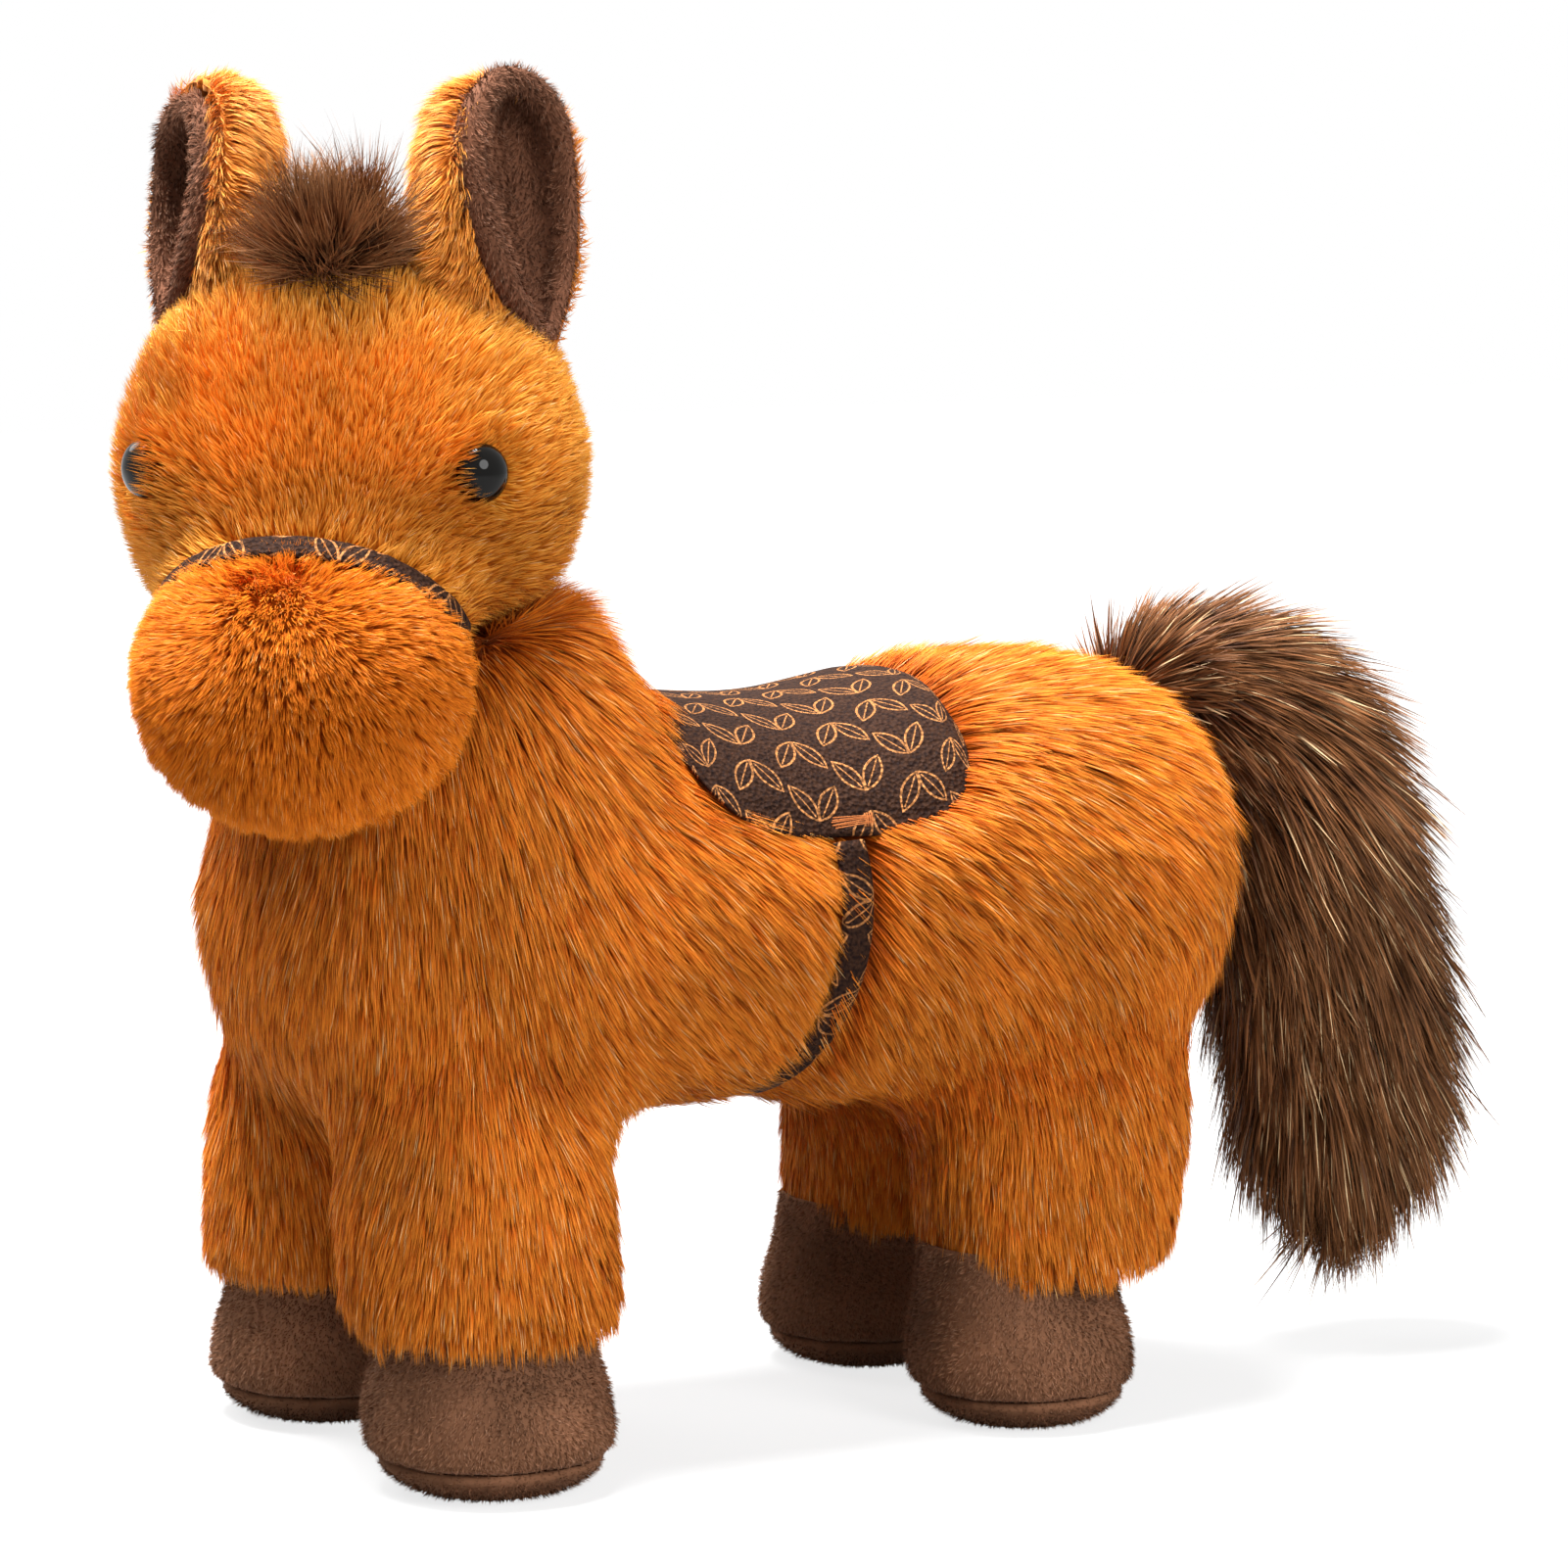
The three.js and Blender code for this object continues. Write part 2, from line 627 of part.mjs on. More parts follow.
// Stuffing: one mass fills the body, legs and hooves, and one the head and muzzle.
const hoofFilling = (leg) => {
  const form = hoofForm(leg);
  return inside(form, -hoofPlush - seamGap, cutOverrun)
    .subtract(between(-cutOverrun, hoofPlush + seamGap))
    .subtract(legWall(leg));
};
const legRoom = (leg) => inside(leg, -bodyPile - seamGap, cutOverrun);
const legFilling = (leg) => legRoom(leg).subtract(between(0, hoofTop + seamGap));
const bodyStuffing = joined([
  room(-bodyPile - seamGap),
  ...legForms.map(legFilling),
  ...legForms.map(hoofFilling),
]).subtract(headRoom(-headPile));
const muzzleStuffing = inside(muzzle, -headPile - seamGap).subtract(barrel(seamGap));
const headStuffing = headRoom(-headPile - seamGap)
  .add(muzzleStuffing)
  .subtract(eyes.left.room)
  .subtract(eyes.right.room);

const tailSkin = swell(tail).subtract(swell(tailInside)).subtract(swell(torso, seamGap));
const tailStuffing = swell(tailInside, -seamGap).subtract(swell(torso, seamGap));

// Finishes
function finish(color, roughness, metalness = 0) {
  return new THREE.MeshStandardMaterial({ color, roughness, metalness });
}
const chestnutFur = finish("#b86a22", 0.9);
const muzzleFur = finish("#a85614", 0.9);
const darkFur = finish("#4c2c1a", 0.88);
const hoofBrown = finish("#6a4634", 0.92);
const suede = finish("#3a241a", 0.8);
const eyeBlack = finish("#0c0a09", 0.12);
const fibreWhite = finish("#eeeae2", 0.95);
const washerWhite = finish("#e8e8e4", 0.5);

const toy = new THREE.Group();
toy.name = "plush_horse";

// Adds one named mesh made from a solid.
function add(name, solid, material) {
  const { vertProperties, triVerts } = solid.getMesh();
  const geometry = new THREE.BufferGeometry();
  geometry.setAttribute("position", new THREE.BufferAttribute(Float32Array.from(vertProperties), 3));
  geometry.setIndex(new THREE.BufferAttribute(Uint32Array.from(triVerts), 1));
  geometry.computeVertexNormals();
  const mesh = new THREE.Mesh(geometry, material);
  mesh.name = name;
  toy.add(mesh);
}

add("torso_skin", torsoSkin, chestnutFur);
add("neck_skin", neckSkin, chestnutFur);
add("head_skin", headSkin, chestnutFur);
add("muzzle_skin", muzzleSkin, muzzleFur);
for (const [place, leg] of Object.entries(legs)) {
  add(`leg_skin_${place}`, legSkin(leg), chestnutFur);
  add(`hoof_upper_${place}`, hoofUpper(leg), hoofBrown);
  add(`hoof_sole_${place}`, hoofSole(leg), hoofBrown);
}
for (const [place, way] of [["left", 1], ["right", -1]]) {
  add(`ear_back_${place}`, earBack(way), chestnutFur);
  add(`ear_lining_${place}`, earLining(way), hoofBrown);
  add(`eye_${place}`, eyes[place].eye, eyeBlack);
  add(`eye_washer_${place}`, eyes[place].washer, washerWhite);
}
add("forelock", forelock, darkFur);
add("tail_skin", tailSkin, darkFur);
add("tail_stuffing", tailStuffing, fibreWhite);
add("saddle_pad", saddlePad, suede);
add("girth_strap", girthStrap, suede);
add("noseband", noseband, suede);
add("body_stuffing", bodyStuffing, fibreWhite);
add("head_stuffing", headStuffing, fibreWhite);

// The origin is the middle of the footprint, on the floor.
const extent = new THREE.Box3().setFromObject(toy);
const middle = extent.getCenter(at(0, 0, 0));
toy.position.set(-middle.x, -middle.y, -extent.min.z);

export default toy;
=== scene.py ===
# %% [markdown]
# # A plush horse in Blender
# The toy is cut from long chestnut fur fabric, stuffed with fibre and sewn up, with short brown plush
# on its hooves and ears, a brown mane and tail, printed suede tack and glossy button eyes. The packed
# CAD model gives every place and size, so the first step is to load it as a fixed frame.

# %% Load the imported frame
import json
import math

import bmesh
import bpy
import numpy as np
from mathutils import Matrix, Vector

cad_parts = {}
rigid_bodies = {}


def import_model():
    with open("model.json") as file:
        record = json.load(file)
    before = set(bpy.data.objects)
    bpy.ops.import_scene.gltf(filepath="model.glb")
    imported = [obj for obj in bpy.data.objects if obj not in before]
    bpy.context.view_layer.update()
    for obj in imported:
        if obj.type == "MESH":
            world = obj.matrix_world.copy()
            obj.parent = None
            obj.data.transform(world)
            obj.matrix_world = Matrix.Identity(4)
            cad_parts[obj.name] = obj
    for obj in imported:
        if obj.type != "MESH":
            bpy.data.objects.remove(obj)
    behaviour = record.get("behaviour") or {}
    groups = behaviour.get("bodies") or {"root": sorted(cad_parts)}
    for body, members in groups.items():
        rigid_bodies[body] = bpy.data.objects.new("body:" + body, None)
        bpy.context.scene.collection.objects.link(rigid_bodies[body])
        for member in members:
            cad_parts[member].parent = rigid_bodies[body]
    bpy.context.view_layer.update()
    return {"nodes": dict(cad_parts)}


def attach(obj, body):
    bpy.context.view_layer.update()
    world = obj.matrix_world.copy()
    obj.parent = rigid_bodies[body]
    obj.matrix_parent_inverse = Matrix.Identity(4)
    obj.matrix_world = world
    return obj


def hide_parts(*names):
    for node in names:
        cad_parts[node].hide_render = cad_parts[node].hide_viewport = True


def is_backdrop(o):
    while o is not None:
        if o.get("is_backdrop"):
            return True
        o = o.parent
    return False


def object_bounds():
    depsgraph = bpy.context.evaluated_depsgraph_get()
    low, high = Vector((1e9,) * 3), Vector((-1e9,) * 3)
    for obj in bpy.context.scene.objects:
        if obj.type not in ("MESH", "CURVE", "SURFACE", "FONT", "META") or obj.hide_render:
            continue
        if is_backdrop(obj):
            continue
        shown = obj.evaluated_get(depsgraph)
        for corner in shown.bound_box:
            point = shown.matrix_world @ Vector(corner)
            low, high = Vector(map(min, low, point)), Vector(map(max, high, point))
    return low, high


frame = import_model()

nodes = frame["nodes"]

# %% [markdown]
# ## Camera
# The photograph was taken from the horse's front left, 62 degrees round and 7 degrees up, through a
# long lens. The camera could be parented to an aiming empty, but a place and a target are enough.

# %% Camera at the photograph's viewing angle
CAMERA_PLACE = Vector((1.1895, -0.6367, 0.2999))
CAMERA_TARGET = Vector((0.0108, -0.0100, 0.1360))
FIELD_OF_VIEW = 2 * math.atan(800.5 / 6500)

lens = bpy.data.cameras.new("camera")
lens.sensor_fit = "HORIZONTAL"
lens.angle = FIELD_OF_VIEW
camera = bpy.data.objects.new("camera", lens)
camera.location = CAMERA_PLACE
camera.rotation_euler = (CAMERA_TARGET - CAMERA_PLACE).to_track_quat("-Z", "Y").to_euler()
bpy.context.collection.objects.link(camera)
bpy.context.scene.camera = camera
print("camera:", round(math.degrees(FIELD_OF_VIEW), 2), "degrees wide")

# %% [markdown]
# ## Floor, backdrop and light
# The horse stands on plain white paper. The world is white to the camera and in reflections and dimmer
# to everything else, which keeps the background white without more light on the fur, and the floor
# mixes to that white away from the toy so that only the soft shadow stays. Four round lamps stand for
# soft boxes.

# %% World, floor and lamps
WORLD_LIGHT = 0.26
FLOOR_SIZE = 6.0
PAPER_GREY = 0.25
PAPER_GLOW = dict(From_Min=0.15, From_Max=0.9, To_Min=0.77, To_Max=1.0)
LAMPS = {"key_light": ((0.1, -1.0, 1.4), (0, -0.05, 0.15), 0.4, 3),
         "side_light": ((1.4, 0.3, 0.9), (0, 0.02, 0.12), 0.8, 17),
         "top_light": ((-0.1, -0.3, 1.6), (0, 0, 0.12), 0.7, 86),
         "rim_light": ((-0.9, -0.5, 0.9), (0, -0.05, 0.18), 0.6, 5)}

scene = bpy.context.scene
scene.view_settings.view_transform = "Standard"


def linked(tree, *pairs):
    """Joins pairs of sockets: (from node, its output), (to node, its input)."""
    for (source, out), (target, socket) in pairs:
        tree.links.new(source.outputs[out], target.inputs[socket])


def placed(tree, kind, **values):
    """A new node of that kind, with its own settings and unlinked sockets given by name."""
    node = tree.nodes.new(kind)
    for name, value in values.items():
        if hasattr(node, name):
            setattr(node, name, value)
        else:
            node.inputs[name.replace("_", " ")].default_value = value
    return node


def seen(tree):
    """An output that is 1 for rays that show what they hit: from the camera, a gloss or a glass."""
    rays = placed(tree, "ShaderNodeLightPath")
    first, both = (placed(tree, "ShaderNodeMath", operation="MAXIMUM") for _ in range(2))
    linked(tree, ((rays, "Is Camera Ray"), (first, 0)), ((rays, "Is Glossy Ray"), (first, 1)),
           ((first, 0), (both, 0)), ((rays, "Is Transmission Ray"), (both, 1)))
    return both


world = bpy.data.worlds.new("white studio")
world.use_nodes = True
tree = world.node_tree
tree.nodes.clear()
level = placed(tree, "ShaderNodeMapRange", To_Min=WORLD_LIGHT)
sky = placed(tree, "ShaderNodeBackground", Color=(1, 1, 1, 1))
output = placed(tree, "ShaderNodeOutputWorld")
linked(
    tree,
    ((seen(tree), 0), (level, "Value")),
    ((level, "Result"), (sky, "Strength")),
    ((sky, "Background"), (output, "Surface")),
)
scene.world = world

corner = FLOOR_SIZE / 2
mesh = bpy.data.meshes.new("floor")
mesh.from_pydata([(-corner, -corner, 0), (corner, -corner, 0), (corner, corner, 0), (-corner, corner, 0)],
                 [], [(0, 1, 2, 3)])
floor = bpy.data.objects.new("floor", mesh)
bpy.context.collection.objects.link(floor)
floor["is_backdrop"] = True
paper = bpy.data.materials.new("white paper")
paper.use_nodes = True
tree = paper.node_tree
tree.nodes.clear()
paint = placed(tree, "ShaderNodeBsdfPrincipled", Base_Color=(PAPER_GREY, PAPER_GREY, PAPER_GREY, 1),
               Roughness=0.9, Specular_IOR_Level=0.0)
glow = placed(tree, "ShaderNodeEmission", Color=(1, 1, 1, 1))
spot = placed(tree, "ShaderNodeTexCoord")
reach = placed(tree, "ShaderNodeVectorMath", operation="LENGTH")
fade = placed(tree, "ShaderNodeMapRange", interpolation_type="SMOOTHSTEP", **PAPER_GLOW)
seen_glow = placed(tree, "ShaderNodeMixShader")
total = placed(tree, "ShaderNodeAddShader")
output = placed(tree, "ShaderNodeOutputMaterial")
linked(
    tree,
    ((spot, "Object"), (reach, 0)),
    ((reach, "Value"), (fade, "Value")),
    ((fade, "Result"), (glow, "Strength")),
    ((seen(tree), 0), (seen_glow, "Fac")),
    ((glow, "Emission"), (seen_glow, 2)),
    ((paint, "BSDF"), (total, 0)),
    ((seen_glow, "Shader"), (total, 1)),
    ((total, "Shader"), (output, "Surface")),
)
floor.data.materials.append(paper)


def soft_box(name, place, aim, across, power):
    """A round area lamp at a place, turned towards an aim, so far across and of so many watts."""
    lamp = bpy.data.lights.new(name, "AREA")
    lamp.shape, lamp.size, lamp.energy = "DISK", across, power
    box = bpy.data.objects.new(name, lamp)
    box.location = place
    box.rotation_euler = (Vector(aim) - Vector(place)).to_track_quat("-Z", "Y").to_euler()
    bpy.context.collection.objects.link(box)


for name, values in LAMPS.items():
    soft_box(name, *values)
print("world light", WORLD_LIGHT, "and", len(LAMPS), "soft boxes")

# %% [markdown]
# ## From sewn cloth to one skin
# The sewn skins swell into each other where stuffing passes from one to the next. Loose copies of
# the CAD skins would meet in sharp valleys, so a voxel remesh wraps copies of them and their filling
# in one skin, its points are relaxed as cloth relaxes over fibre, and the skin is drawn in by the
# depth of the pile. The fur then stands on it up to the surface that the CAD model gives.

# %% Wrap, relax and draw in a skin
MM = 0.001


def node_triangles(names):
    """Points and triangles of the named CAD nodes together, in metres."""
    points, faces, count = [], [], 0
    for name in names:
        data = nodes[name].data
        co = np.empty(len(data.vertices) * 3)
        data.vertices.foreach_get("co", co)
        data.calc_loop_triangles()
        tri = np.empty(len(data.loop_triangles) * 3, int)
        data.loop_triangles.foreach_get("vertices", tri)
        points.append(co.reshape(-1, 3))
        faces.append(tri.reshape(-1, 3) + count)
        count += len(data.vertices)
    return np.concatenate(points), np.concatenate(faces)


def wrapped(names, voxel):
    """One skin of squares round the named nodes: a voxel remesh, of which the outer island is kept."""
    co, tri = node_triangles(names)
    mesh = bpy.data.meshes.new("wrap")
    mesh.from_pydata(co, [], tri)
    wrap = bpy.data.objects.new("wrap", mesh)
    bpy.context.collection.objects.link(wrap)
    remesh = wrap.modifiers.new("wrap", "REMESH")
    remesh.mode, remesh.voxel_size = "VOXEL", voxel
    data = wrap.evaluated_get(bpy.context.evaluated_depsgraph_get()).data
    co = np.empty(len(data.vertices) * 3)
    data.vertices.foreach_get("co", co)
    quads = np.empty(len(data.loops), int)
    data.loops.foreach_get("vertex_index", quads)
    bpy.data.objects.remove(wrap)
    bpy.data.meshes.remove(mesh)
    co, quads = co.reshape(-1, 3), quads.reshape(-1, 4)
    island = np.arange(len(co))
    while True:
        low = island.copy()
        for a, b in ((0, 1), (1, 2), (2, 3), (3, 0)):
            np.minimum.at(low, quads[:, a], island[quads[:, b]])
            np.minimum.at(low, quads[:, b], island[quads[:, a]])
        low = low[low]
        if (low == island).all():
            break
        island = low
    outer = np.bincount(island).argmax()
    return compact(co, quads[island[quads[:, 0]] == outer])


def compact(co, quads):
    """The same faces with only the points that they use."""
    used, flat = np.unique(quads, return_inverse=True)
    return co[used], flat.reshape(quads.shape)


def relaxed(co, quads, rounds, share=0.5):
    """Each round moves every point by share of the way to the mean of its neighbours."""
    a = quads.ravel()
    b = np.roll(quads, -1, axis=1).ravel()
    near = np.bincount(a, minlength=len(co)) + np.bincount(b, minlength=len(co))
    for _ in range(rounds):
        mean = np.stack([np.bincount(a, co[b, k], len(co)) + np.bincount(b, co[a, k], len(co))
                         for k in range(3)], 1) / near[:, None]
        co = co + share * (mean - co)
    return co


def unit(v):
    """Vectors of length 1 along v."""
    return v / np.maximum(np.linalg.norm(v, axis=-1, keepdims=True), 1e-12)


def outward(co, quads):
    """A unit normal at each point: the mean of its faces' diagonals' cross products."""
    across = np.cross(co[quads[:, 2]] - co[quads[:, 0]], co[quads[:, 3]] - co[quads[:, 1]])
    return unit(np.stack([np.bincount(quads.ravel(), np.repeat(across[:, k], 4), len(co))
                          for k in range(3)], 1))


def drawn_in(co, quads, depth):
    """The same skin moved in along its normals by depth, and relaxed a little."""
    return relaxed(co - depth * outward(co, quads), quads, 3)


def turned_by(v, axis, angle):
    """v turned by angle about a unit axis: its part along the axis stays and the rest goes round."""
    c, n = math.cos(angle), math.sin(angle)
    return v * c + np.cross(axis, v) * n + axis * (axis @ v) * (1 - c)


def eased(x, start, end):
    """0 before start, 1 after end, and a smooth step between them."""
    t = np.clip((x - start) / (end - start), 0, 1)
    return t * t * (3 - 2 * t)


BELLY, BACK_TOP = 66 * MM, 162 * MM
PAD_MIDDLE, PAD_HALF, PAD_DROP = -13.8 * MM, 34 * MM, 31 * MM
GIRTH_WIDTH, GIRTH_BOW = 7.2 * MM, 9 * MM
PAD_FRONT_TOP, PAD_DENT, GIRTH_DENT = 155 * MM, 1.0 * MM, 1.6 * MM


def pad_hem(across):
    """The height of the pad's lower edge, at shares from -1 to 1 of the way along it."""
    return BACK_TOP - PAD_DROP * (1 - np.minimum(np.abs(across), 1) ** (2 / 0.6)) ** 0.4


def girth_bow(z):
    """How far behind the pad's middle the girth lies at each height: part of a cosine wave."""
    share = (z - BELLY) / (BACK_TOP - BELLY)
    return GIRTH_BOW * (np.cos((share - 0.55) * math.pi) - 1)


def from_tack(p):
    """How far each point lies outside the pad's outline and outside the girth's edges, seen from the
    side; less than zero is within. The neck that rises over the pad's front is outside."""
    aside = np.abs(p[:, 1] - PAD_MIDDLE)
    over = p[:, 2] - (PAD_FRONT_TOP + 0.07 * (p[:, 1] - PAD_MIDDLE + PAD_HALF))
    pad = np.maximum(np.maximum(aside - PAD_HALF, pad_hem(aside / PAD_HALF) - p[:, 2]), over)
    girth = np.abs(p[:, 1] - PAD_MIDDLE - girth_bow(p[:, 2])) - GIRTH_WIDTH / 2
    return pad, np.where(p[:, 2] < BACK_TOP - 0.6 * PAD_DROP, girth, 1.0)


def pressed(p):
    """How deep the tack presses into the stuffed body at each point."""
    pad, girth = from_tack(p)
    on_body = p[:, 2] > 0.9 * BELLY
    by_pad = PAD_DENT * (1 - eased(pad, -5 * MM, 7 * MM))
    by_girth = GIRTH_DENT * (1 - eased(girth, 0, 9 * MM))
    return on_body * (by_pad + by_girth)


def from_axis(p, place, axis):
    """How far each point lies along an axis that leaves a place, and how far to its side."""
    along = (p - place) @ axis
    return along, np.linalg.norm(p - place - along[:, None] * axis, axis=1)


BODY_NODES = ["torso_skin", "neck_skin", "leg_skin_front_left", "leg_skin_front_right",
              "leg_skin_hind_left", "leg_skin_hind_right", "body_stuffing"]
HEAD_NODES = ["head_skin", "muzzle_skin", "head_stuffing"]
VOXEL = 4 * MM
BODY_PILE, BODY_ROUNDS = 3.9 * MM, 14
HEAD_PILE, HEAD_ROUNDS = 3.8 * MM, 6
HEAD_CENTRE = np.array([0, -0.1043, 0.207])
MUZZLE_CENTRE = np.array([0.0295, -0.1282, 0.167])
UP = np.array([0, 0, 1.0])
DOWN = -UP
BACK = np.array([0, 1.0, 0])
FACE_LEVEL = np.array([0.7771, -0.6293, 0.0])
HEAD_LEFT = np.array([0.6293, 0.7771, 0.0])
EYE_REACH, EYE_RADIUS, EYE_DOME = 45.7 * MM, 6 * MM, 6.4 * MM
EYE_TURN = math.radians(48)
SIDES = (("left", 1), ("right", -1))
EYE_AXES = {side: turned_by(FACE_LEVEL, UP, way * EYE_TURN) for side, way in SIDES}

body_face, body_quads = wrapped(BODY_NODES, VOXEL)
body_face = relaxed(body_face, body_quads, BODY_ROUNDS)
body_co = drawn_in(body_face, body_quads, BODY_PILE)
body_co = body_co - pressed(body_co)[:, None] * outward(body_co, body_quads)
head_face, head_quads = wrapped(HEAD_NODES, VOXEL)
head_face = relaxed(head_face, head_quads, HEAD_ROUNDS)
head_co = drawn_in(head_face, head_quads, HEAD_PILE)
for axis in EYE_AXES.values():
    along, aside = from_axis(head_co, HEAD_CENTRE, axis)
    flat = (along > 0) * (1 - eased(aside, 1.3 * EYE_RADIUS, 2.6 * EYE_RADIUS))
    head_co = head_co + (flat * (EYE_REACH - 0.2 * MM - along))[:, None] * axis
print("body skin", len(body_quads), "squares, head skin", len(head_quads), "squares")

# %% [markdown]
# ## Fur as tapered strands
# Fur could be Blender's hair, but hair isn't a mesh, so it would be missing from an exported model.
# Here each visible hair is a thin ribbon of one to three parts that ends in a point. All the ribbons
# of a panel are worked out together as arrays: a root on the cloth, a comb direction, a length, and
# two angles, the steep one at which it leaves the cloth and the flat one in which it lies.

# %% Roots, strands and panels
WAVES = 6
DENSITY = 1.0
WIDEN = 1.0
BACKING = 1.2 * MM


def swirl(p, size, seed):
    """A smooth random vector at each point: sines of the place along a few random directions."""
    rng = np.random.default_rng(seed)
    turns = unit(rng.normal(size=(WAVES, 3))) * (2 * math.pi / size) * rng.uniform(0.6, 1.5, (WAVES, 1))
    phase = rng.uniform(0, 2 * math.pi, (3, WAVES))
    return np.stack([np.sin(p @ turns.T + phase[k]).sum(1) for k in range(3)], 1) / math.sqrt(WAVES)


def roots(co, quads, count, rng):
    """Count points over the faces, times DENSITY, spread by area, with the normal at each."""
    count = int(count * DENSITY)
    normal = outward(co, quads)
    tri = np.concatenate([quads[:, [0, 1, 2]], quads[:, [0, 2, 3]]])
    corners = co[tri]
    area = np.linalg.norm(np.cross(corners[:, 1] - corners[:, 0], corners[:, 2] - corners[:, 0]), axis=1)
    total = np.cumsum(area)
    at = (np.arange(count) + rng.random(count)) / count * total[-1]
    face = tri[np.searchsorted(total, at).clip(0, len(tri) - 1)]
    s, t = np.sqrt(rng.random(count)), rng.random(count)
    share = np.stack([1 - s, s * (1 - t), s * t], 1)[:, :, None]
    return (co[face] * share).sum(1), unit((normal[face] * share).sum(1))


def clumped(root, size, rng):
    """The number of each root's lock, from a warped grid, and the mean root of every lock."""
    warp = root + 0.35 * size * swirl(root, 5 * size, 11)
    cell = np.floor(warp / size).astype(np.int64)
    key = cell @ np.array([1, 4096, 4096 * 4096])
    _, lock = np.unique(key, return_inverse=True)
    held = np.bincount(lock)
    centre = np.stack([np.bincount(lock, root[:, k]) for k in range(3)], 1) / held[:, None]
    return lock, centre


def strands(root, out, comb, rng, length, width, lift, lay, gather=0.45, lock_size=4 * MM, stray=0.22,
            parts=3, uneven=0.2, wild=4):
    """Ribbons of so many parts. A ribbon leaves the cloth at the angle lift and bends to lay, both in
    degrees above the cloth; its tip is gathered towards the middle of its lock. Each has two edge
    points at the start of every part and one at its tip."""
    count = len(root)
    lock, centre = clumped(root, lock_size, rng)
    shared = rng.normal(size=(len(centre), 3))[lock]
    along = comb + stray * shared + 0.6 * stray * rng.normal(size=(count, 3))
    along = unit(along - out * (along * out).sum(1, keepdims=True))
    size = length * rng.uniform(1 - 1.6 * uneven, 1 + 0.6 * uneven, count)
    size = size * (1 + 0.5 * uneven * rng.normal(size=len(centre))[lock]).clip(0.6, 1.3)
    tilt = rng.normal(0, wild, count) + wild * rng.normal(size=len(centre))[lock]
    points = [root]
    for k in range(parts):
        angle = np.radians(np.clip(lift + (lay - lift) * (k + 0.5) / parts + tilt, 0, 88))[:, None]
        points.append(points[-1] + (along * np.cos(angle) + out * np.sin(angle)) * (size / parts)[:, None])
    spine = np.stack(points, 1)
    pull = centre[lock] - root
    pull -= out * (pull * out).sum(1, keepdims=True)
    rise = np.arange(parts + 1) / parts
    spine = spine + gather * (rise ** 1.3)[None, :, None] * pull[:, None]
    roll = rng.uniform(-0.9, 0.9, count)[:, None]
    side = unit(np.cross(spine[:, -1] - spine[:, 0], out))
    side = side * np.cos(roll) + out * np.sin(roll)
    half = (np.asarray(width) * rng.uniform(0.7, 1.2, count) / 2)[:, None, None]
    taper = (1 - 0.35 * rise[:-1] ** 2)[None, :, None]
    left = spine[:, :-1] - side[:, None] * half * taper
    right = spine[:, :-1] + side[:, None] * half * taper
    return np.concatenate([left, right, spine[:, -1:]], 1)


def shell(co, quads, depth):
    """A closed cloth wall: the skin, a copy drawn in by depth and turned inside out, and a rim."""
    inner = co - depth * outward(co, quads)
    a, b = quads.ravel(), np.roll(quads, -1, axis=1).ravel()
    key, back = a * len(co) + b, b * len(co) + a
    rim = ~np.isin(key, back)
    edge = np.stack([b[rim], a[rim], a[rim] + len(co), b[rim] + len(co)], 1)
    return np.concatenate([co, inner]), np.concatenate([quads, quads[:, ::-1] + len(co), edge])


def furred(name, cloth, hair, rng, cloth_rise=0.35):
    """One mesh of cloth squares and ribbons. The map called strand holds a random number for each
    ribbon and the share of the way from root to tip; the map OFBake gives each its own small cell."""
    co, quads = cloth
    count, held = hair.shape[:2]
    parts = held // 2
    first = len(co) + held * np.arange(count)[:, None]
    step = np.arange(parts - 1)[:, None]
    joints = (step + [0, parts, parts + 1, 1]).ravel()
    level = np.concatenate([(step + [0, 0, 1, 1]).ravel(), [parts - 1, parts - 1, parts]]) / parts
    joints = np.concatenate([joints, [parts - 1, 2 * parts - 1, 2 * parts]])
    across = np.concatenate([np.tile([0, 1, 1, 0], parts - 1), [0, 1, 0.5]])
    loops = np.concatenate([quads.ravel(), (first + joints).ravel()])
    sizes = np.concatenate([np.full(len(quads), 4), np.tile([4] * (parts - 1) + [3], count)])
    mesh = bpy.data.meshes.new(name)
    points = np.concatenate([co, hair.reshape(-1, 3)])
    mesh.vertices.add(len(points))
    mesh.vertices.foreach_set("co", points.ravel())
    mesh.loops.add(len(loops))
    mesh.loops.foreach_set("vertex_index", loops)
    mesh.polygons.add(len(sizes))
    mesh.polygons.foreach_set("loop_start", np.concatenate([[0], np.cumsum(sizes)[:-1]]))
    mesh.polygons.foreach_set("use_smooth", np.ones(len(sizes), bool))
    mesh.update(calc_edges=True)
    mesh.validate()

    cells = len(quads) + count
    wide = int(math.ceil(math.sqrt(cells * 1.6)))
    high = int(math.ceil(cells / wide))
    corners = len(joints)
    number = np.concatenate([np.repeat(np.arange(len(quads)), 4),
                             np.repeat(len(quads) + np.arange(count), corners)])
    u = np.concatenate([np.tile([0, 1, 1, 0], len(quads)), np.tile(across, count)]) * 0.7 + 0.15
    v = np.concatenate([np.tile([0, 0, 1, 1], len(quads)), np.tile(level, count)]) * 0.8 + 0.1
    bake = np.stack([(number % wide + u) / wide, (number // wide + v) / high], 1)
    chance = np.concatenate([np.full(4 * len(quads), 0.5), np.repeat(rng.random(count), corners)])
    # The cloth squares take the colour at cloth_rise along the hair, near the dark root colour that is
    # painted shade.
    rise = np.concatenate([np.full(4 * len(quads), cloth_rise), np.tile(level, count)])
    for layer, values in (("strand", np.stack([chance, rise], 1)), ("OFBake", bake)):
        mesh.uv_layers.new(name=layer).uv.foreach_set("vector", values.astype(np.float32).ravel())
    piece = bpy.data.objects.new(name, mesh)
    bpy.context.collection.objects.link(piece)
    return piece


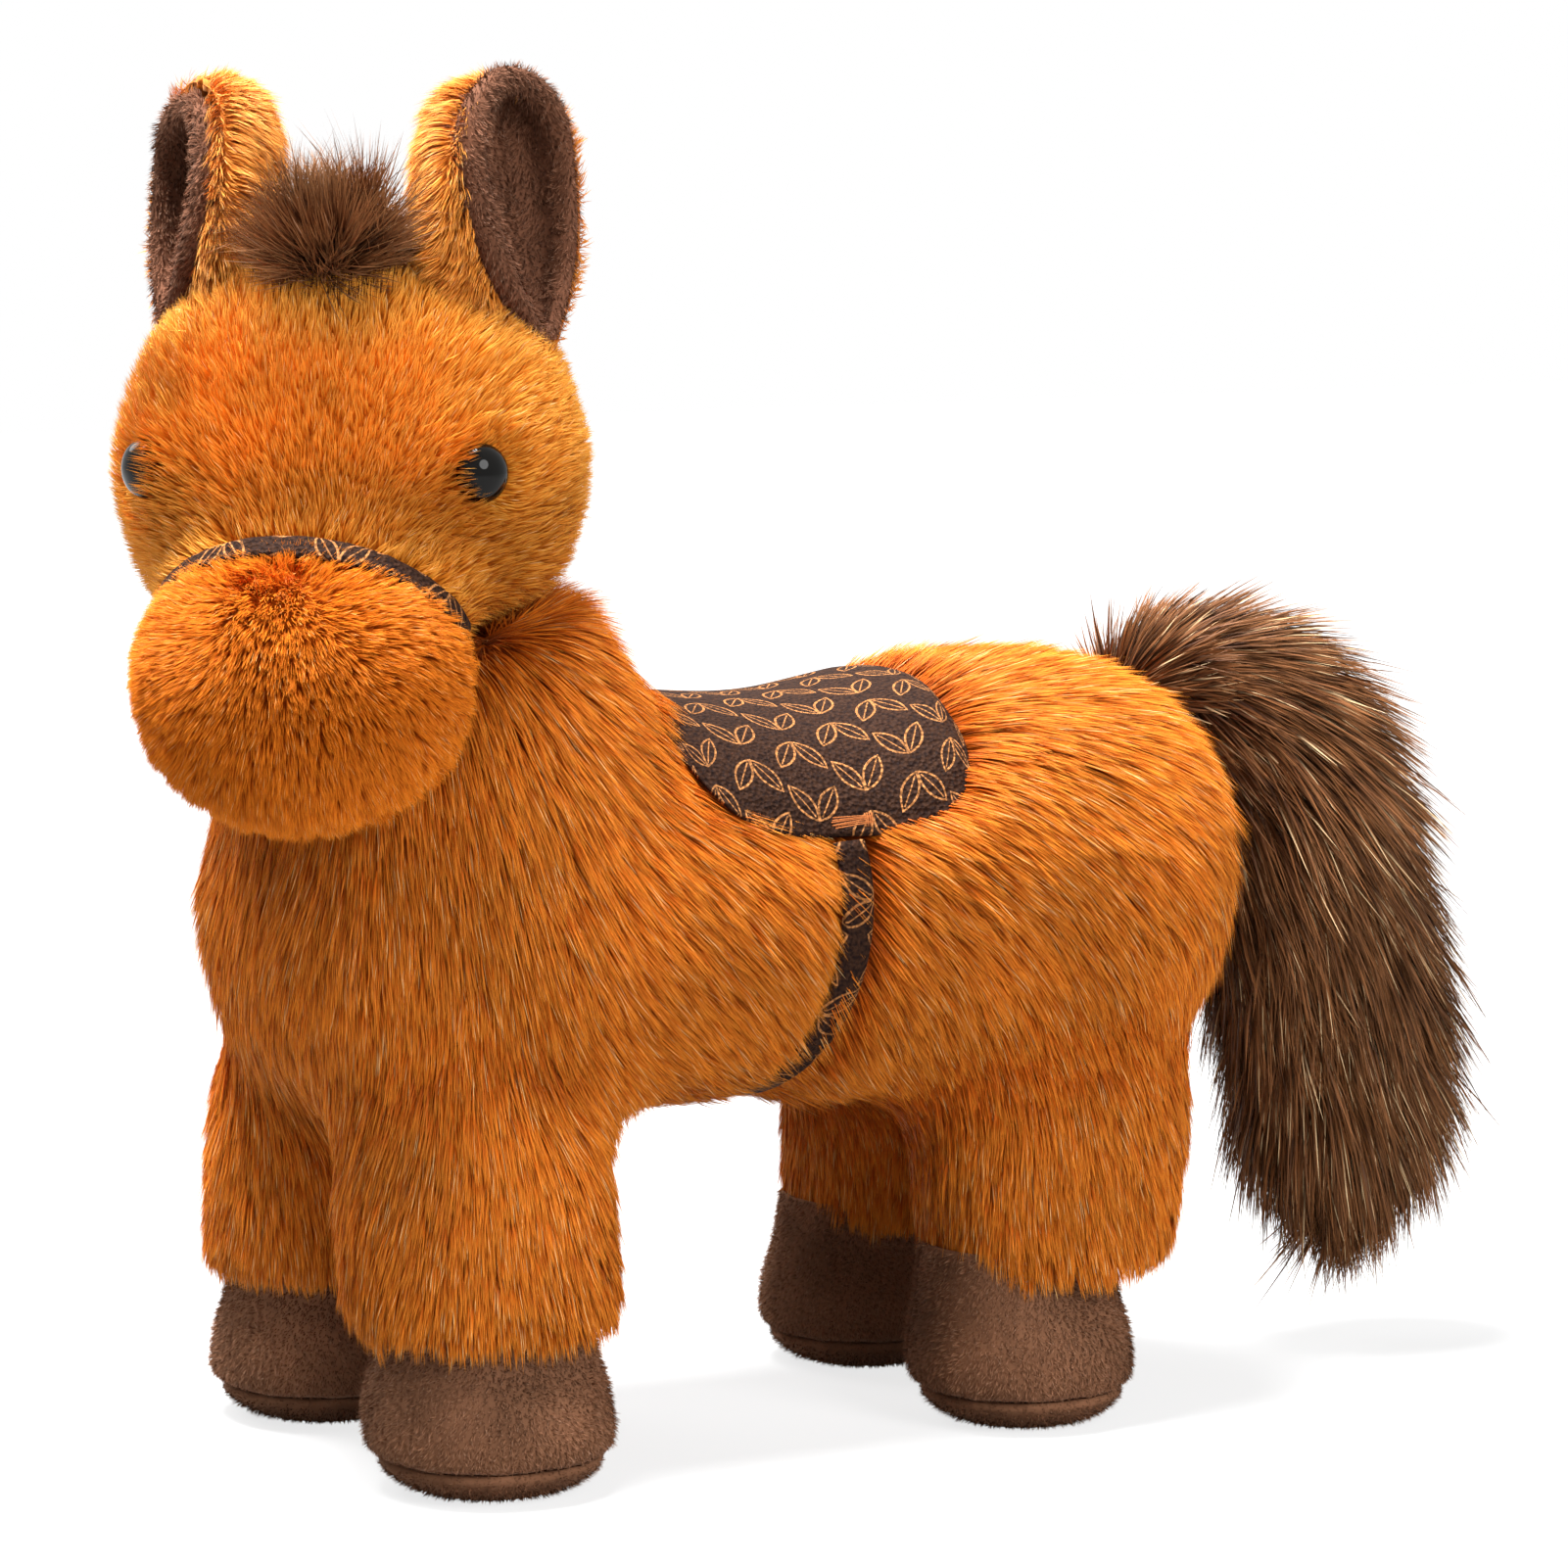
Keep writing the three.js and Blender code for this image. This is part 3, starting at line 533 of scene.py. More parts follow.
def sewn_on(piece, material, replaced, body="horse"):
    """Gives a furred piece its finish, the CAD nodes it stands for and its body."""
    piece.data.materials.append(material)
    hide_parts(*replaced)
    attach(piece, body)


print("hairs at", DENSITY, "of their number and", WIDEN, "of their width")

# %% [markdown]
# ## Fur material
# Plush pile is dyed polyester, and its ribbons also carry painted shade and light: darker and redder towards
# the roots, painted for the shade between the hairs, and golden at the tips, painted for the light that they
# catch. The colour could be painted on the cloth, but it follows the hairs, so one node group reads each
# hair's own map: how far along it is, and its chance number.

# %% A hair colour group and six fur materials


def ramp(tree, stops):
    """A colour ramp with the given (place, colour) stops."""
    node = placed(tree, "ShaderNodeValToRGB")
    band = node.color_ramp
    while len(band.elements) < len(stops):
        band.elements.new(0.5)
    for element, (place, colour) in zip(band.elements, stops):
        element.position, element.color = place, (*colour, 1)
    return node


def hair_colour_group():
    """Colour from root to tip, dark at the root as painted shade and golden at the tip as painted light, with
    rare painted glint hairs, shifted for each hair and by soft patches over the cloth.
    """
    tree = bpy.data.node_groups.new("hair colour", "ShaderNodeTree")
    for kind, names in (("NodeSocketColor", ("Root", "Middle", "Tip", "Glint")),
                        ("NodeSocketFloat", ("Glints", "Spread", "Patches"))):
        for name in names:
            tree.interface.new_socket(name, in_out="INPUT", socket_type=kind)
    tree.interface.new_socket("Color", in_out="OUTPUT", socket_type="NodeSocketColor")
    given, out = placed(tree, "NodeGroupInput"), placed(tree, "NodeGroupOutput")
    strand = placed(tree, "ShaderNodeUVMap", uv_map="strand")
    parts = placed(tree, "ShaderNodeSeparateXYZ")
    # Painted shade and light along each hair: from the dark Root colour through Middle to the golden Tip
    # colour.
    low = placed(tree, "ShaderNodeMapRange", interpolation_type="SMOOTHSTEP", From_Max=0.55)
    high = placed(tree, "ShaderNodeMapRange", interpolation_type="SMOOTHSTEP", From_Min=0.4)
    body = placed(tree, "ShaderNodeMix", data_type="RGBA")
    tipped = placed(tree, "ShaderNodeMix", data_type="RGBA")
    place = placed(tree, "ShaderNodeTexCoord")
    patch = placed(tree, "ShaderNodeTexNoise", Scale=38.0, Detail=2.0)
    lean = placed(tree, "ShaderNodeMapRange", From_Min=0.3, From_Max=0.7, To_Min=-1.0, To_Max=1.0)
    chance = placed(tree, "ShaderNodeMapRange", To_Min=-1.0, To_Max=1.0)
    part = placed(tree, "ShaderNodeMath", operation="MULTIPLY")
    shift = placed(tree, "ShaderNodeMath", operation="MULTIPLY_ADD")
    value = placed(tree, "ShaderNodeMath", operation="ADD")
    value.inputs[1].default_value = 1.0
    shade = placed(tree, "ShaderNodeHueSaturation")
    # Painted glints: hairs whose chance number is under Glints turn to the Glint colour towards their tips,
    # as painted highlights.
    rare = placed(tree, "ShaderNodeMath", operation="LESS_THAN")
    shine = placed(tree, "ShaderNodeMath", operation="MULTIPLY")
    glinting = placed(tree, "ShaderNodeMix", data_type="RGBA")
    linked(
        tree,
        ((strand, "UV"), (parts, "Vector")),
        ((parts, "Y"), (low, "Value")), ((parts, "Y"), (high, "Value")),
        ((low, "Result"), (body, 0)), ((given, "Root"), (body, 6)), ((given, "Middle"), (body, 7)),
        ((high, "Result"), (tipped, 0)), ((body, 2), (tipped, 6)), ((given, "Tip"), (tipped, 7)),
        ((place, "Object"), (patch, "Vector")), ((patch, "Fac"), (lean, "Value")),
        ((lean, "Result"), (part, 0)), ((given, "Patches"), (part, 1)),
        ((parts, "X"), (chance, "Value")),
        ((chance, "Result"), (shift, 0)), ((given, "Spread"), (shift, 1)), ((part, 0), (shift, 2)),
        ((shift, 0), (value, 0)), ((value, 0), (shade, "Value")), ((tipped, 2), (shade, "Color")),
        ((parts, "X"), (rare, 0)), ((given, "Glints"), (rare, 1)),
        ((rare, 0), (shine, 0)), ((high, "Result"), (shine, 1)),
        ((shine, 0), (glinting, 0)), ((shade, "Color"), (glinting, 6)), ((given, "Glint"), (glinting, 7)),
        ((glinting, 2), (out, "Color")),
    )
    return tree


hair_colour_and_painted_light = hair_colour_group()
SHEEN_ROUGHNESS = 0.4


def fur_material(name, colours, glints=0.05, spread=0.3, patches=0.14, roughness=0.6, sheen=0.1,
                 specular=0.12):
    """Fur in root, middle, tip and glint colours: the dark root colour is painted shade, and the golden tip
    and glint colours are painted light. Sheen stands for the fuzz that single ribbons lack.
    """
    made = bpy.data.materials.new(name)
    made.use_nodes = True
    tree = made.node_tree
    tree.nodes.clear()
    root, middle, tip, glint = ((*colour, 1) for colour in colours)
    group = placed(tree, "ShaderNodeGroup", node_tree=hair_colour_and_painted_light)
    for socket, value in (("Root", root), ("Middle", middle), ("Tip", tip), ("Glint", glint),
                          ("Glints", glints), ("Spread", spread), ("Patches", patches)):
        group.inputs[socket].default_value = value
    paint = placed(tree, "ShaderNodeBsdfPrincipled", Roughness=roughness, Specular_IOR_Level=specular,
                   Sheen_Weight=sheen, Sheen_Roughness=SHEEN_ROUGHNESS, Sheen_Tint=glint)
    output = placed(tree, "ShaderNodeOutputMaterial")
    linked(tree, ((group, "Color"), (paint, "Base Color")), ((paint, "BSDF"), (output, "Surface")))
    return made


# In every fur material below, the dark root colour is painted shade, the golden tip colour is painted light,
# and the last colour is that of painted glint hairs. GOLD is also the sheen tint.
GOLD = (1.0, 0.66, 0.28)
chestnut = fur_material(
    "chestnut fur", ((0.27, 0.042, 0.002), (0.51, 0.094, 0.003), (0.82, 0.270, 0.026), GOLD),
    glints=0.05, spread=0.2, roughness=0.55, sheen=0.12, specular=0.08)
face_fur = fur_material(
    "face fur", ((0.54, 0.150, 0.009), (0.72, 0.235, 0.015), (0.91, 0.42, 0.066), GOLD),
    glints=0.04, spread=0.12, patches=0.12, sheen=0.15, specular=0.1)
rust = fur_material(
    "rust fur", ((0.50, 0.100, 0.004), (0.60, 0.123, 0.004), (0.81, 0.230, 0.013), (0.98, 0.52, 0.16)),
    glints=0.04, spread=0.14, patches=0.07, sheen=0.1, specular=0.08)
dark_mane = fur_material(
    "brown mane fur",
    ((0.026, 0.008, 0.003), (0.070, 0.023, 0.007), (0.22, 0.088, 0.031), (0.95, 0.66, 0.36)),
    glints=0.06, spread=0.45, roughness=0.5, specular=0.1)
# The forelock's root colour is near black as painted shade at its whorl.
forelock_fur = fur_material(
    "forelock fur", ((0.012, 0.004, 0.002), (0.12, 0.043, 0.015), (0.32, 0.140, 0.053), (0.5, 0.3, 0.18)),
    glints=0.02)
ear_fur = fur_material(
    "ear fur", ((0.54, 0.145, 0.010), (0.68, 0.205, 0.016), (0.88, 0.37, 0.060), GOLD),
    glints=0.04, spread=0.12, patches=0.12, sheen=0.3, specular=0.2)
print("fur materials:", [m.name for m in (chestnut, face_fur, rust, dark_mane, forelock_fur, ear_fur)])

# %% [markdown]
# ## Body panels
# A real toy of this kind is cut as flank, neck and leg panels, so the drawn-in skin is cut the same
# way and each panel is its own piece. The nap runs away from the saddle behind the girth, back and
# down in front of it, and straight down on the chest and legs, where it ends in a ragged hem.

# %% Comb directions and cuts of the body
GIRTH_Y = -0.020
SADDLE_CENTRE = np.array([0, -0.015, 0.150])
FRONT_LEG = np.array([0.041, -0.0933])
HIND_LEG = np.array([0.035, 0.0348])
LEG_REACH = 0.040
LEG_TOP = 0.088
HEM = 0.0355
NECK_BASE = 0.142
NECK_REAR = -0.050
BODY_LIFT, BODY_LAY, EDGE_LIFT = 24, 3, 34
FRINGE, GIRTH_HIDDEN = 4 * MM, 17 * MM


def under_tack(p, over=0):
    """Whether each point lies under the pad or the girth, less a margin over their front edges that
    the fur's tips may cover. The long fur of the belly closes over the girth."""
    pad, girth = from_tack(p)
    ahead = p[:, 1] < PAD_MIDDLE - 0.6 * PAD_HALF
    under_girth = (girth < 0.6 * MM - 0.5 * over) & (p[:, 2] > BELLY + GIRTH_HIDDEN)
    return (pad < -1.2 * MM - over * ahead) | under_girth


def body_lift(p):
    """Low, but steeper before the pad's front edge and beside the girth, so that tips lie over them."""
    pad, girth = from_tack(p)
    hem = BACK_TOP - PAD_DROP
    ahead = 1 - eased(p[:, 1], PAD_MIDDLE - 0.9 * PAD_HALF, PAD_MIDDLE - 0.6 * PAD_HALF)
    beside = (p[:, 1] < PAD_MIDDLE) * (1 - eased(p[:, 2], hem - 12 * MM, hem - 5 * MM))
    by_pad = ahead * (1 - eased(pad, 2 * MM, 9 * MM))
    by_girth = 0.5 * beside * (1 - eased(girth, 1 * MM, 6 * MM))
    return BODY_LIFT + EDGE_LIFT * np.maximum(by_pad, by_girth)


def body_lay(p):
    """Almost flat, and a little higher where the fur passes over the tack's edges."""
    return BODY_LAY + 0.35 * (body_lift(p) - BODY_LIFT)


def body_comb(p):
    """Radial from the saddle, turning down with distance; back and down in front of the girth."""
    away = p - SADDLE_CENTRE
    far = np.linalg.norm(away, axis=1, keepdims=True)
    droop = eased(far, 0.045, 0.125)
    rear = (unit(away) + 0.45 * BACK) * (1 - droop) + (DOWN + 0.12 * BACK) * droop
    chest = eased(-p[:, 1:2], 0.060, 0.115)
    front = (0.75 * BACK + 0.85 * DOWN) * (1 - chest) + (DOWN + 0.1 * BACK) * chest
    part = eased(p[:, 1:2], GIRTH_Y - 0.012, GIRTH_Y + 0.012)
    leg = eased(-p[:, 2:3], -0.085, -0.06)
    flow = rear * part + front * (1 - part)
    return unit(flow * (1 - leg) + DOWN * leg) + 0.13 * swirl(p, 0.06, 3)


def panel_of(centre):
    """A number for each face centre: 0 none, 1 to 4 flanks, 5 neck, 6 to 9 legs."""
    x, y, z = centre.T
    left = x >= 0
    flank = np.where(y < GIRTH_Y, np.where(left, 1, 2), np.where(left, 3, 4))
    panel = np.where((z > NECK_BASE) & (y < NECK_REAR), 5, flank)
    low = (z < LEG_TOP) & (np.abs(x) > 0.003)
    for number, place in ((6, FRONT_LEG), (8, HIND_LEG)):
        near = np.hypot(np.abs(x) - place[0], y - place[1]) < LEG_REACH
        panel = np.where(low & near, np.where(left, number, number + 1), panel)
    return np.where(z < HEM, 0, panel)


def fur_panel(name, co, quads, replaced, material, count, comb, covered=None, slot="body_fur", **look):
    """Cuts the cloth, grows its ribbons, leaves out those that are covered, and places the piece."""
    rng = np.random.default_rng(len(name) * 1000 + sum(map(ord, name)))
    root, out = roots(co, quads, count, rng)
    measure = {key: value(root) if callable(value) else value for key, value in look.items()}
    hair = strands(root, out, comb(root), rng, **measure)
    if covered:
        hair = hair[~covered(hair[:, 0]) & ~covered(hair[:, -1], FRINGE)]
    sewn_on(furred(name, shell(co, quads, BACKING), hair, rng), material, replaced)
    print(name, len(quads), "squares,", len(hair), "hairs")


def body_length(p):
    """Long over the body, shorter down the legs and trimmed at their hems."""
    return (7 + 2.5 * eased(p[:, 2], HEM, HEM + 0.012) + 3 * eased(p[:, 2], 0.05, 0.09)) * MM


BODY_LOOK = dict(length=body_length, width=0.28 * WIDEN * MM, lift=body_lift, lay=body_lay, parts=2,
                 stray=0.06, gather=0.2, lock_size=2.4 * MM, wild=2)
PANELS = {1: ("flank_front_left", "torso_skin", 48000),
          2: ("flank_front_right", "torso_skin", 37000),
          3: ("flank_rear_left", "torso_skin", 58000),
          4: ("flank_rear_right", "torso_skin", 43000),
          5: ("neck_fur", "neck_skin", 36000),
          6: ("leg_fur_front_left", "leg_skin_front_left", 40000),
          7: ("leg_fur_front_right", "leg_skin_front_right", 34000),
          8: ("leg_fur_hind_left", "leg_skin_hind_left", 36000),
          9: ("leg_fur_hind_right", "leg_skin_hind_right", 32000)}

panel = panel_of(body_co[body_quads].mean(1))
for number, (name, replaced, count) in PANELS.items():
    co, quads = compact(body_co, body_quads[panel == number])
    fur_panel(name, co, quads, [replaced], chestnut, count, body_comb, covered=under_tack, **BODY_LOOK)

# %% [markdown]
# ## Head and muzzle
# The head is sewn from short golden plush and the muzzle from a more orange one, with the noseband
# over their seam. One drawn-in skin holds both, and the noseband's plane cuts it in two. The nap
# leaves the muzzle's root, is trimmed behind the eyes, and stands up in front of them, where it hides
# a part of each button, so comb, length and lift are worked out from the way to the nearer eye.

# %% Head and muzzle
HEAD_HAIR, BAND_WIDTH, BAND_SHOWS = 5.6 * MM, 5.6 * MM, 3 * MM
HEAD_LIFT, EYE_LIFT = 66, 18
EYE_SHARE, EYE_LOSS, BAND_LOSS = 0.85, 85, 0.2


def from_eyes(p):
    """How far each point lies from the nearer eye's axis, and the way out from that axis."""
    reach, away = np.full(len(p), 1.0), np.zeros_like(p)
    for axis in EYE_AXES.values():
        along, aside = from_axis(p, HEAD_CENTRE, axis)
        near = (along > 0) & (aside < reach)
        reach = np.where(near, aside, reach)
        away = np.where(near[:, None], p - HEAD_CENTRE - along[:, None] * axis, away)
    return reach, unit(away)


def head_comb(p):
    """Away from the muzzle over the head, and away from the eyes close to them."""
    reach, away = from_eyes(p)
    near = 1 - eased(reach, EYE_RADIUS, 2 * EYE_RADIUS)[:, None]
    behind = eased(-(away @ FACE_LEVEL), -0.2, 0.4)[:, None]
    nape = eased(-((p - HEAD_CENTRE) @ FACE_LEVEL), -0.01, 0.03)[:, None]
    flow = unit(p - MUZZLE_CENTRE) + 0.2 * swirl(p, 0.05, 5)
    return flow + 1.5 * near * behind * away + 0.9 * nape * DOWN


def head_length(p):
    """Short behind the eyes, where the real pile is trimmed, and long in front of them."""
    reach, away = from_eyes(p)
    near = 1 - eased(reach, EYE_RADIUS, 2.2 * EYE_RADIUS)
    ahead = away @ FACE_LEVEL
    return HEAD_HAIR * (1 + near * (0.3 * eased(ahead, 0.2, 0.7) - 0.4 * eased(-ahead, -0.3, 0.2)))


def head_lift(p):
    """Upright beside the front of the eyes, so that the pile hides a part of them from the front."""
    reach, away = from_eyes(p)
    near = 1 - eased(reach, EYE_RADIUS, 1.9 * EYE_RADIUS)
    return HEAD_LIFT + EYE_LIFT * near * eased(away @ FACE_LEVEL, 0, 0.5)


def head_lay(p):
    """Laid over where it leaves the cloth low, and nearly upright where it leaves it steeply."""
    return 2.6 * head_lift(p) - 142


def muzzle_comb(p):
    """Outward from a place under the middle of the noseband, and every way close to it."""
    away = p - MUZZLE_CENTRE - 0.024 * FACE_LEVEL - 0.019 * UP
    far = np.linalg.norm(away, axis=1, keepdims=True)
    return unit(away) * eased(far, 0.001, 0.022) + 0.2 * swirl(p, 0.03, 7) + 0.15 * DOWN


def muzzle_length(p):
    """Longer under the muzzle, where the pile hangs."""
    return HEAD_HAIR * (0.86 + 0.6 * eased(MUZZLE_CENTRE[2] - p[:, 2], 0, 0.03))


def covered_face(p, over=0):
    """Whether each point lies behind an eye or under the noseband, less a margin in m for the tips,
    which takes EYE_LOSS times itself off the eye's share and BAND_LOSS times itself off the band."""
    along = (p - band_middle) @ band_way
    by_eye = from_eyes(p)[0] < (EYE_SHARE - EYE_LOSS * over) * EYE_RADIUS
    return by_eye | (np.abs(along) < BAND_SHOWS / 2 - BAND_LOSS * over)


centre = head_co[head_quads].mean(1)
noseband, _ = node_triangles(["noseband"])
band_middle = noseband.mean(0)
band_way = np.linalg.svd(noseband - band_middle, full_matrices=False)[2][2]
band_way *= np.sign(band_way @ (MUZZLE_CENTRE - HEAD_CENTRE))
print("noseband plane through", band_middle.round(4), "facing", band_way.round(3))
is_muzzle = (centre - band_middle) @ band_way > 0
FACE_LOOK = dict(width=0.26 * WIDEN * MM, parts=2, stray=0.16, gather=0.25,
                 lock_size=2.4 * MM, uneven=0.1, wild=3)
HEAD_LOOK = FACE_LOOK | dict(width=0.31 * WIDEN * MM)
co, quads = compact(head_co, head_quads[~is_muzzle])
fur_panel("head_fur", co, quads, ["head_skin"], face_fur, 62000, head_comb, covered=covered_face,
          length=head_length, lift=head_lift, lay=head_lay, **HEAD_LOOK)
co, quads = compact(head_co, head_quads[is_muzzle])
fur_panel("muzzle_fur", co, quads, ["muzzle_skin"], rust, 50000, muzzle_comb, covered=covered_face,
          slot="muzzle_fur", length=muzzle_length, lift=67, lay=32, **FACE_LOOK)

# %% [markdown]
# ## Smooth surfaces from two parameters
# Hooves, ears, tack and eyes are smooth forms, so each is a grid of points worked out from a formula
# in two parameters. One helper turns such a grid into a mesh, and closes it round or caps it.

# %% Grids, curves and a general piece


def smooth_curve(knots, s):
    """A Catmull-Rom curve through evenly spaced knots, read at shares s from 0 to 1."""
    knots = np.asarray(knots, float)
    knots = knots if knots.ndim > 1 else knots[:, None]
    padded = np.concatenate([2 * knots[:1] - knots[1:2], knots, 2 * knots[-1:] - knots[-2:-1]])
    at = np.clip(np.asarray(s), 0, 1) * (len(knots) - 1)
    k = np.minimum(at.astype(int), len(knots) - 2)
    t = (at - k)[..., None]
    a, b, c, d = padded[k], padded[k + 1], padded[k + 2], padded[k + 3]
    out = 0.5 * (2 * b + (c - a) * t + (2 * a - 5 * b + 4 * c - d) * t**2 + (3 * b - a - 3 * c + d) * t**3)
    return out if out.shape[-1] > 1 else out[..., 0]


def grid_faces(rows, columns, closed):
    """Squares between neighbours of a grid whose last column meets its first where it is closed."""
    r, c = np.meshgrid(np.arange(rows - 1), np.arange(columns if closed else columns - 1), indexing="ij")
    here, beyond, e = r * columns, (r + 1) * columns, (c + 1) % columns
    return np.stack([here + c, here + e, beyond + e, beyond + c], -1).reshape(-1, 4)


def facing_out(co, quads, centre):
    """The same squares, turned round if they face the centre."""
    inward = (outward(co, quads) * (co - centre)).sum() < 0
    return co, quads[:, ::-1] if inward else quads


def made_piece(name, co, faces, materials, body="horse", slot=None, replaced=(), uv=None):
    """A mesh object with its faces turned outward, its finish, its body and the nodes it stands for."""
    mesh = bpy.data.meshes.new(name)
    mesh.from_pydata(co, [], [list(f) for f in faces])
    if uv is not None:
        loops = np.empty(len(mesh.loops), int)
        mesh.loops.foreach_get("vertex_index", loops)
        mesh.uv_layers.new(name="cloth").uv.foreach_set("vector", uv[loops].astype(np.float32).ravel())
    mesh.polygons.foreach_set("use_smooth", np.ones(len(mesh.polygons), bool))
    work = bmesh.new()
    work.from_mesh(mesh)
    bmesh.ops.remove_doubles(work, verts=work.verts, dist=1e-6)
    bmesh.ops.recalc_face_normals(work, faces=work.faces)
    work.to_mesh(mesh)
    work.free()
    piece = bpy.data.objects.new(name, mesh)
    bpy.context.collection.objects.link(piece)
    for material in materials:
        mesh.materials.append(material)
    if replaced:
        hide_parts(*replaced)
    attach(piece, body)
    return piece


print("an open grid of 3 by 4 points has", len(grid_faces(3, 4, False)), "squares")

# %% [markdown]
# ## Finishes for plush, suede, eyes and filling
# The hooves and ear linings are short dense plush, the tack is printed suede cloth. The print could be
# painted, but it is drawn here by a formula: a pair of pointed leaves in every cell of the cloth,
# every second cell turned over and each column set half a cell further along than the last.

# %% Plush, suede, eye and fibre finishes
LEAF_CELL, LEAF_LEAN = 12.5, math.radians(34)
LEAF_OUT, LEAF_LONG, LEAF_WIDE, LEAF_LINE = 0.225, 0.37, 0.155, 0.021


def maths(tree, operation, *values):
    """A Math node on sockets and numbers; returns its output."""
    node = placed(tree, "ShaderNodeMath", operation=operation)
    for slot, value in enumerate(values):
        if isinstance(value, (int, float)):
            node.inputs[slot].default_value = value
        else:
            tree.links.new(value, node.inputs[slot])
    return node.outputs[0]


def leaf_print_group():
    """A mask of leaf outlines from the cloth's own map in mm. In a cell's own directions p across and
    q up, a leaf is |p| = w (1 - (q / h)^2), turned outward by LEAF_LEAN on each side of the cell."""
    tree = bpy.data.node_groups.new("leaf print", "ShaderNodeTree")
    tree.interface.new_socket("Mask", in_out="OUTPUT", socket_type="NodeSocketFloat")
    out = placed(tree, "NodeGroupOutput")
    cloth = placed(tree, "ShaderNodeUVMap", uv_map="cloth")
    parts = placed(tree, "ShaderNodeSeparateXYZ")
    linked(tree, ((cloth, "UV"), (parts, "Vector")))
    u = maths(tree, "DIVIDE", parts.outputs["X"], LEAF_CELL)
    column = maths(tree, "FLOOR", u)
    v = maths(tree, "MULTIPLY_ADD", column, 0.5, maths(tree, "DIVIDE", parts.outputs["Y"], LEAF_CELL))
    row = maths(tree, "FLOOR", v)
    odd = maths(tree, "MODULO", maths(tree, "ABSOLUTE", maths(tree, "ADD", column, row)), 2.0)
    way = maths(tree, "MULTIPLY_ADD", odd, -2.0, 1.0)
    p = maths(tree, "ABSOLUTE", maths(tree, "SUBTRACT", maths(tree, "FRACT", u), 0.5))
    q = maths(tree, "MULTIPLY", maths(tree, "SUBTRACT", maths(tree, "FRACT", v), 0.5), way)
    c, n = math.cos(LEAF_LEAN), math.sin(LEAF_LEAN)
    p = maths(tree, "SUBTRACT", p, LEAF_OUT)
    along = maths(tree, "MULTIPLY_ADD", p, n, maths(tree, "MULTIPLY", q, c))
    across = maths(tree, "ABSOLUTE", maths(tree, "MULTIPLY_ADD", p, c, maths(tree, "MULTIPLY", q, -n)))
    share = maths(tree, "DIVIDE", along, LEAF_LONG)
    edge = maths(tree, "MULTIPLY_ADD", maths(tree, "MULTIPLY", share, share), -LEAF_WIDE, LEAF_WIDE)
    gap = maths(tree, "ABSOLUTE", maths(tree, "SUBTRACT", across, edge))
    outline = maths(tree, "LESS_THAN", gap, LEAF_LINE)
    inside = maths(tree, "LESS_THAN", maths(tree, "ABSOLUTE", share), 1.1)
    rib = maths(tree, "MULTIPLY", maths(tree, "LESS_THAN", across, 0.6 * LEAF_LINE),
                maths(tree, "LESS_THAN", maths(tree, "ABSOLUTE", share), 0.8))
    mask = maths(tree, "MULTIPLY", maths(tree, "MAXIMUM", outline, rib), inside)
    tree.links.new(mask, out.inputs["Mask"])
    return tree


def plain(name, colour, roughness=0.8, patches=0.2, specular=0.3):
    """A finish with soft patches of lighter and darker colour."""
    made = bpy.data.materials.new(name)
    made.use_nodes = True
    tree = made.node_tree
    paint = tree.nodes["Principled BSDF"]
    paint.inputs["Roughness"].default_value = roughness
    paint.inputs["Specular IOR Level"].default_value = specular
    place = placed(tree, "ShaderNodeTexCoord")
    patch = placed(tree, "ShaderNodeTexNoise", Scale=60.0, Detail=3.0)
    dark, light = ([c * share for c in colour] for share in (1 - patches, 1 + patches))
    tone = ramp(tree, [(0.3, dark), (0.7, light)])
    linked(tree, ((place, "Object"), (patch, "Vector")), ((patch, "Fac"), (tone, "Fac")),
           ((tone, "Color"), (paint, "Base Color")))
    return made


def suede_material():
    """Dark suede cloth: the leaf print in tan, worn by a fine noise, and a pebbled grain in relief."""
    made = bpy.data.materials.new("printed suede")
    made.use_nodes = True
    tree = made.node_tree
    paint = tree.nodes["Principled BSDF"]
    paint.inputs["Roughness"].default_value = 0.75
    paint.inputs["Specular IOR Level"].default_value = 0.07
    leaves = placed(tree, "ShaderNodeGroup", node_tree=leaf_print_group())
    place = placed(tree, "ShaderNodeTexCoord")
    wear = placed(tree, "ShaderNodeTexNoise", Scale=1600.0, Detail=2.0)
    worn = ramp(tree, [(0.35, (0.25, 0.25, 0.25)), (0.6, (1, 1, 1))])
    ink = placed(tree, "ShaderNodeMath", operation="MULTIPLY")
    shade = placed(tree, "ShaderNodeTexNoise", Scale=1200.0, Detail=3.0)
    ground = ramp(tree, [(0.35, (0.010, 0.004, 0.003)), (0.65, (0.040, 0.017, 0.009))])
    tinted = placed(tree, "ShaderNodeMix", data_type="RGBA")
    tinted.inputs[7].default_value = (0.46, 0.19, 0.062, 1)
    grain = placed(tree, "ShaderNodeTexVoronoi", Scale=1000.0)
    relief = placed(tree, "ShaderNodeBump", Strength=0.9, Distance=0.0006)
    linked(
        tree,
        ((place, "Object"), (wear, "Vector")), ((place, "Object"), (shade, "Vector")),
        ((place, "Object"), (grain, "Vector")), ((wear, "Fac"), (worn, "Fac")),
        ((leaves, "Mask"), (ink, 0)), ((worn, "Color"), (ink, 1)), ((shade, "Fac"), (ground, "Fac")),
        ((ink, 0), (tinted, 0)), ((ground, "Color"), (tinted, 6)), ((tinted, 2), (paint, "Base Color")),
        ((grain, "Distance"), (relief, "Height")), ((relief, "Normal"), (paint, "Normal")),
    )
    return made


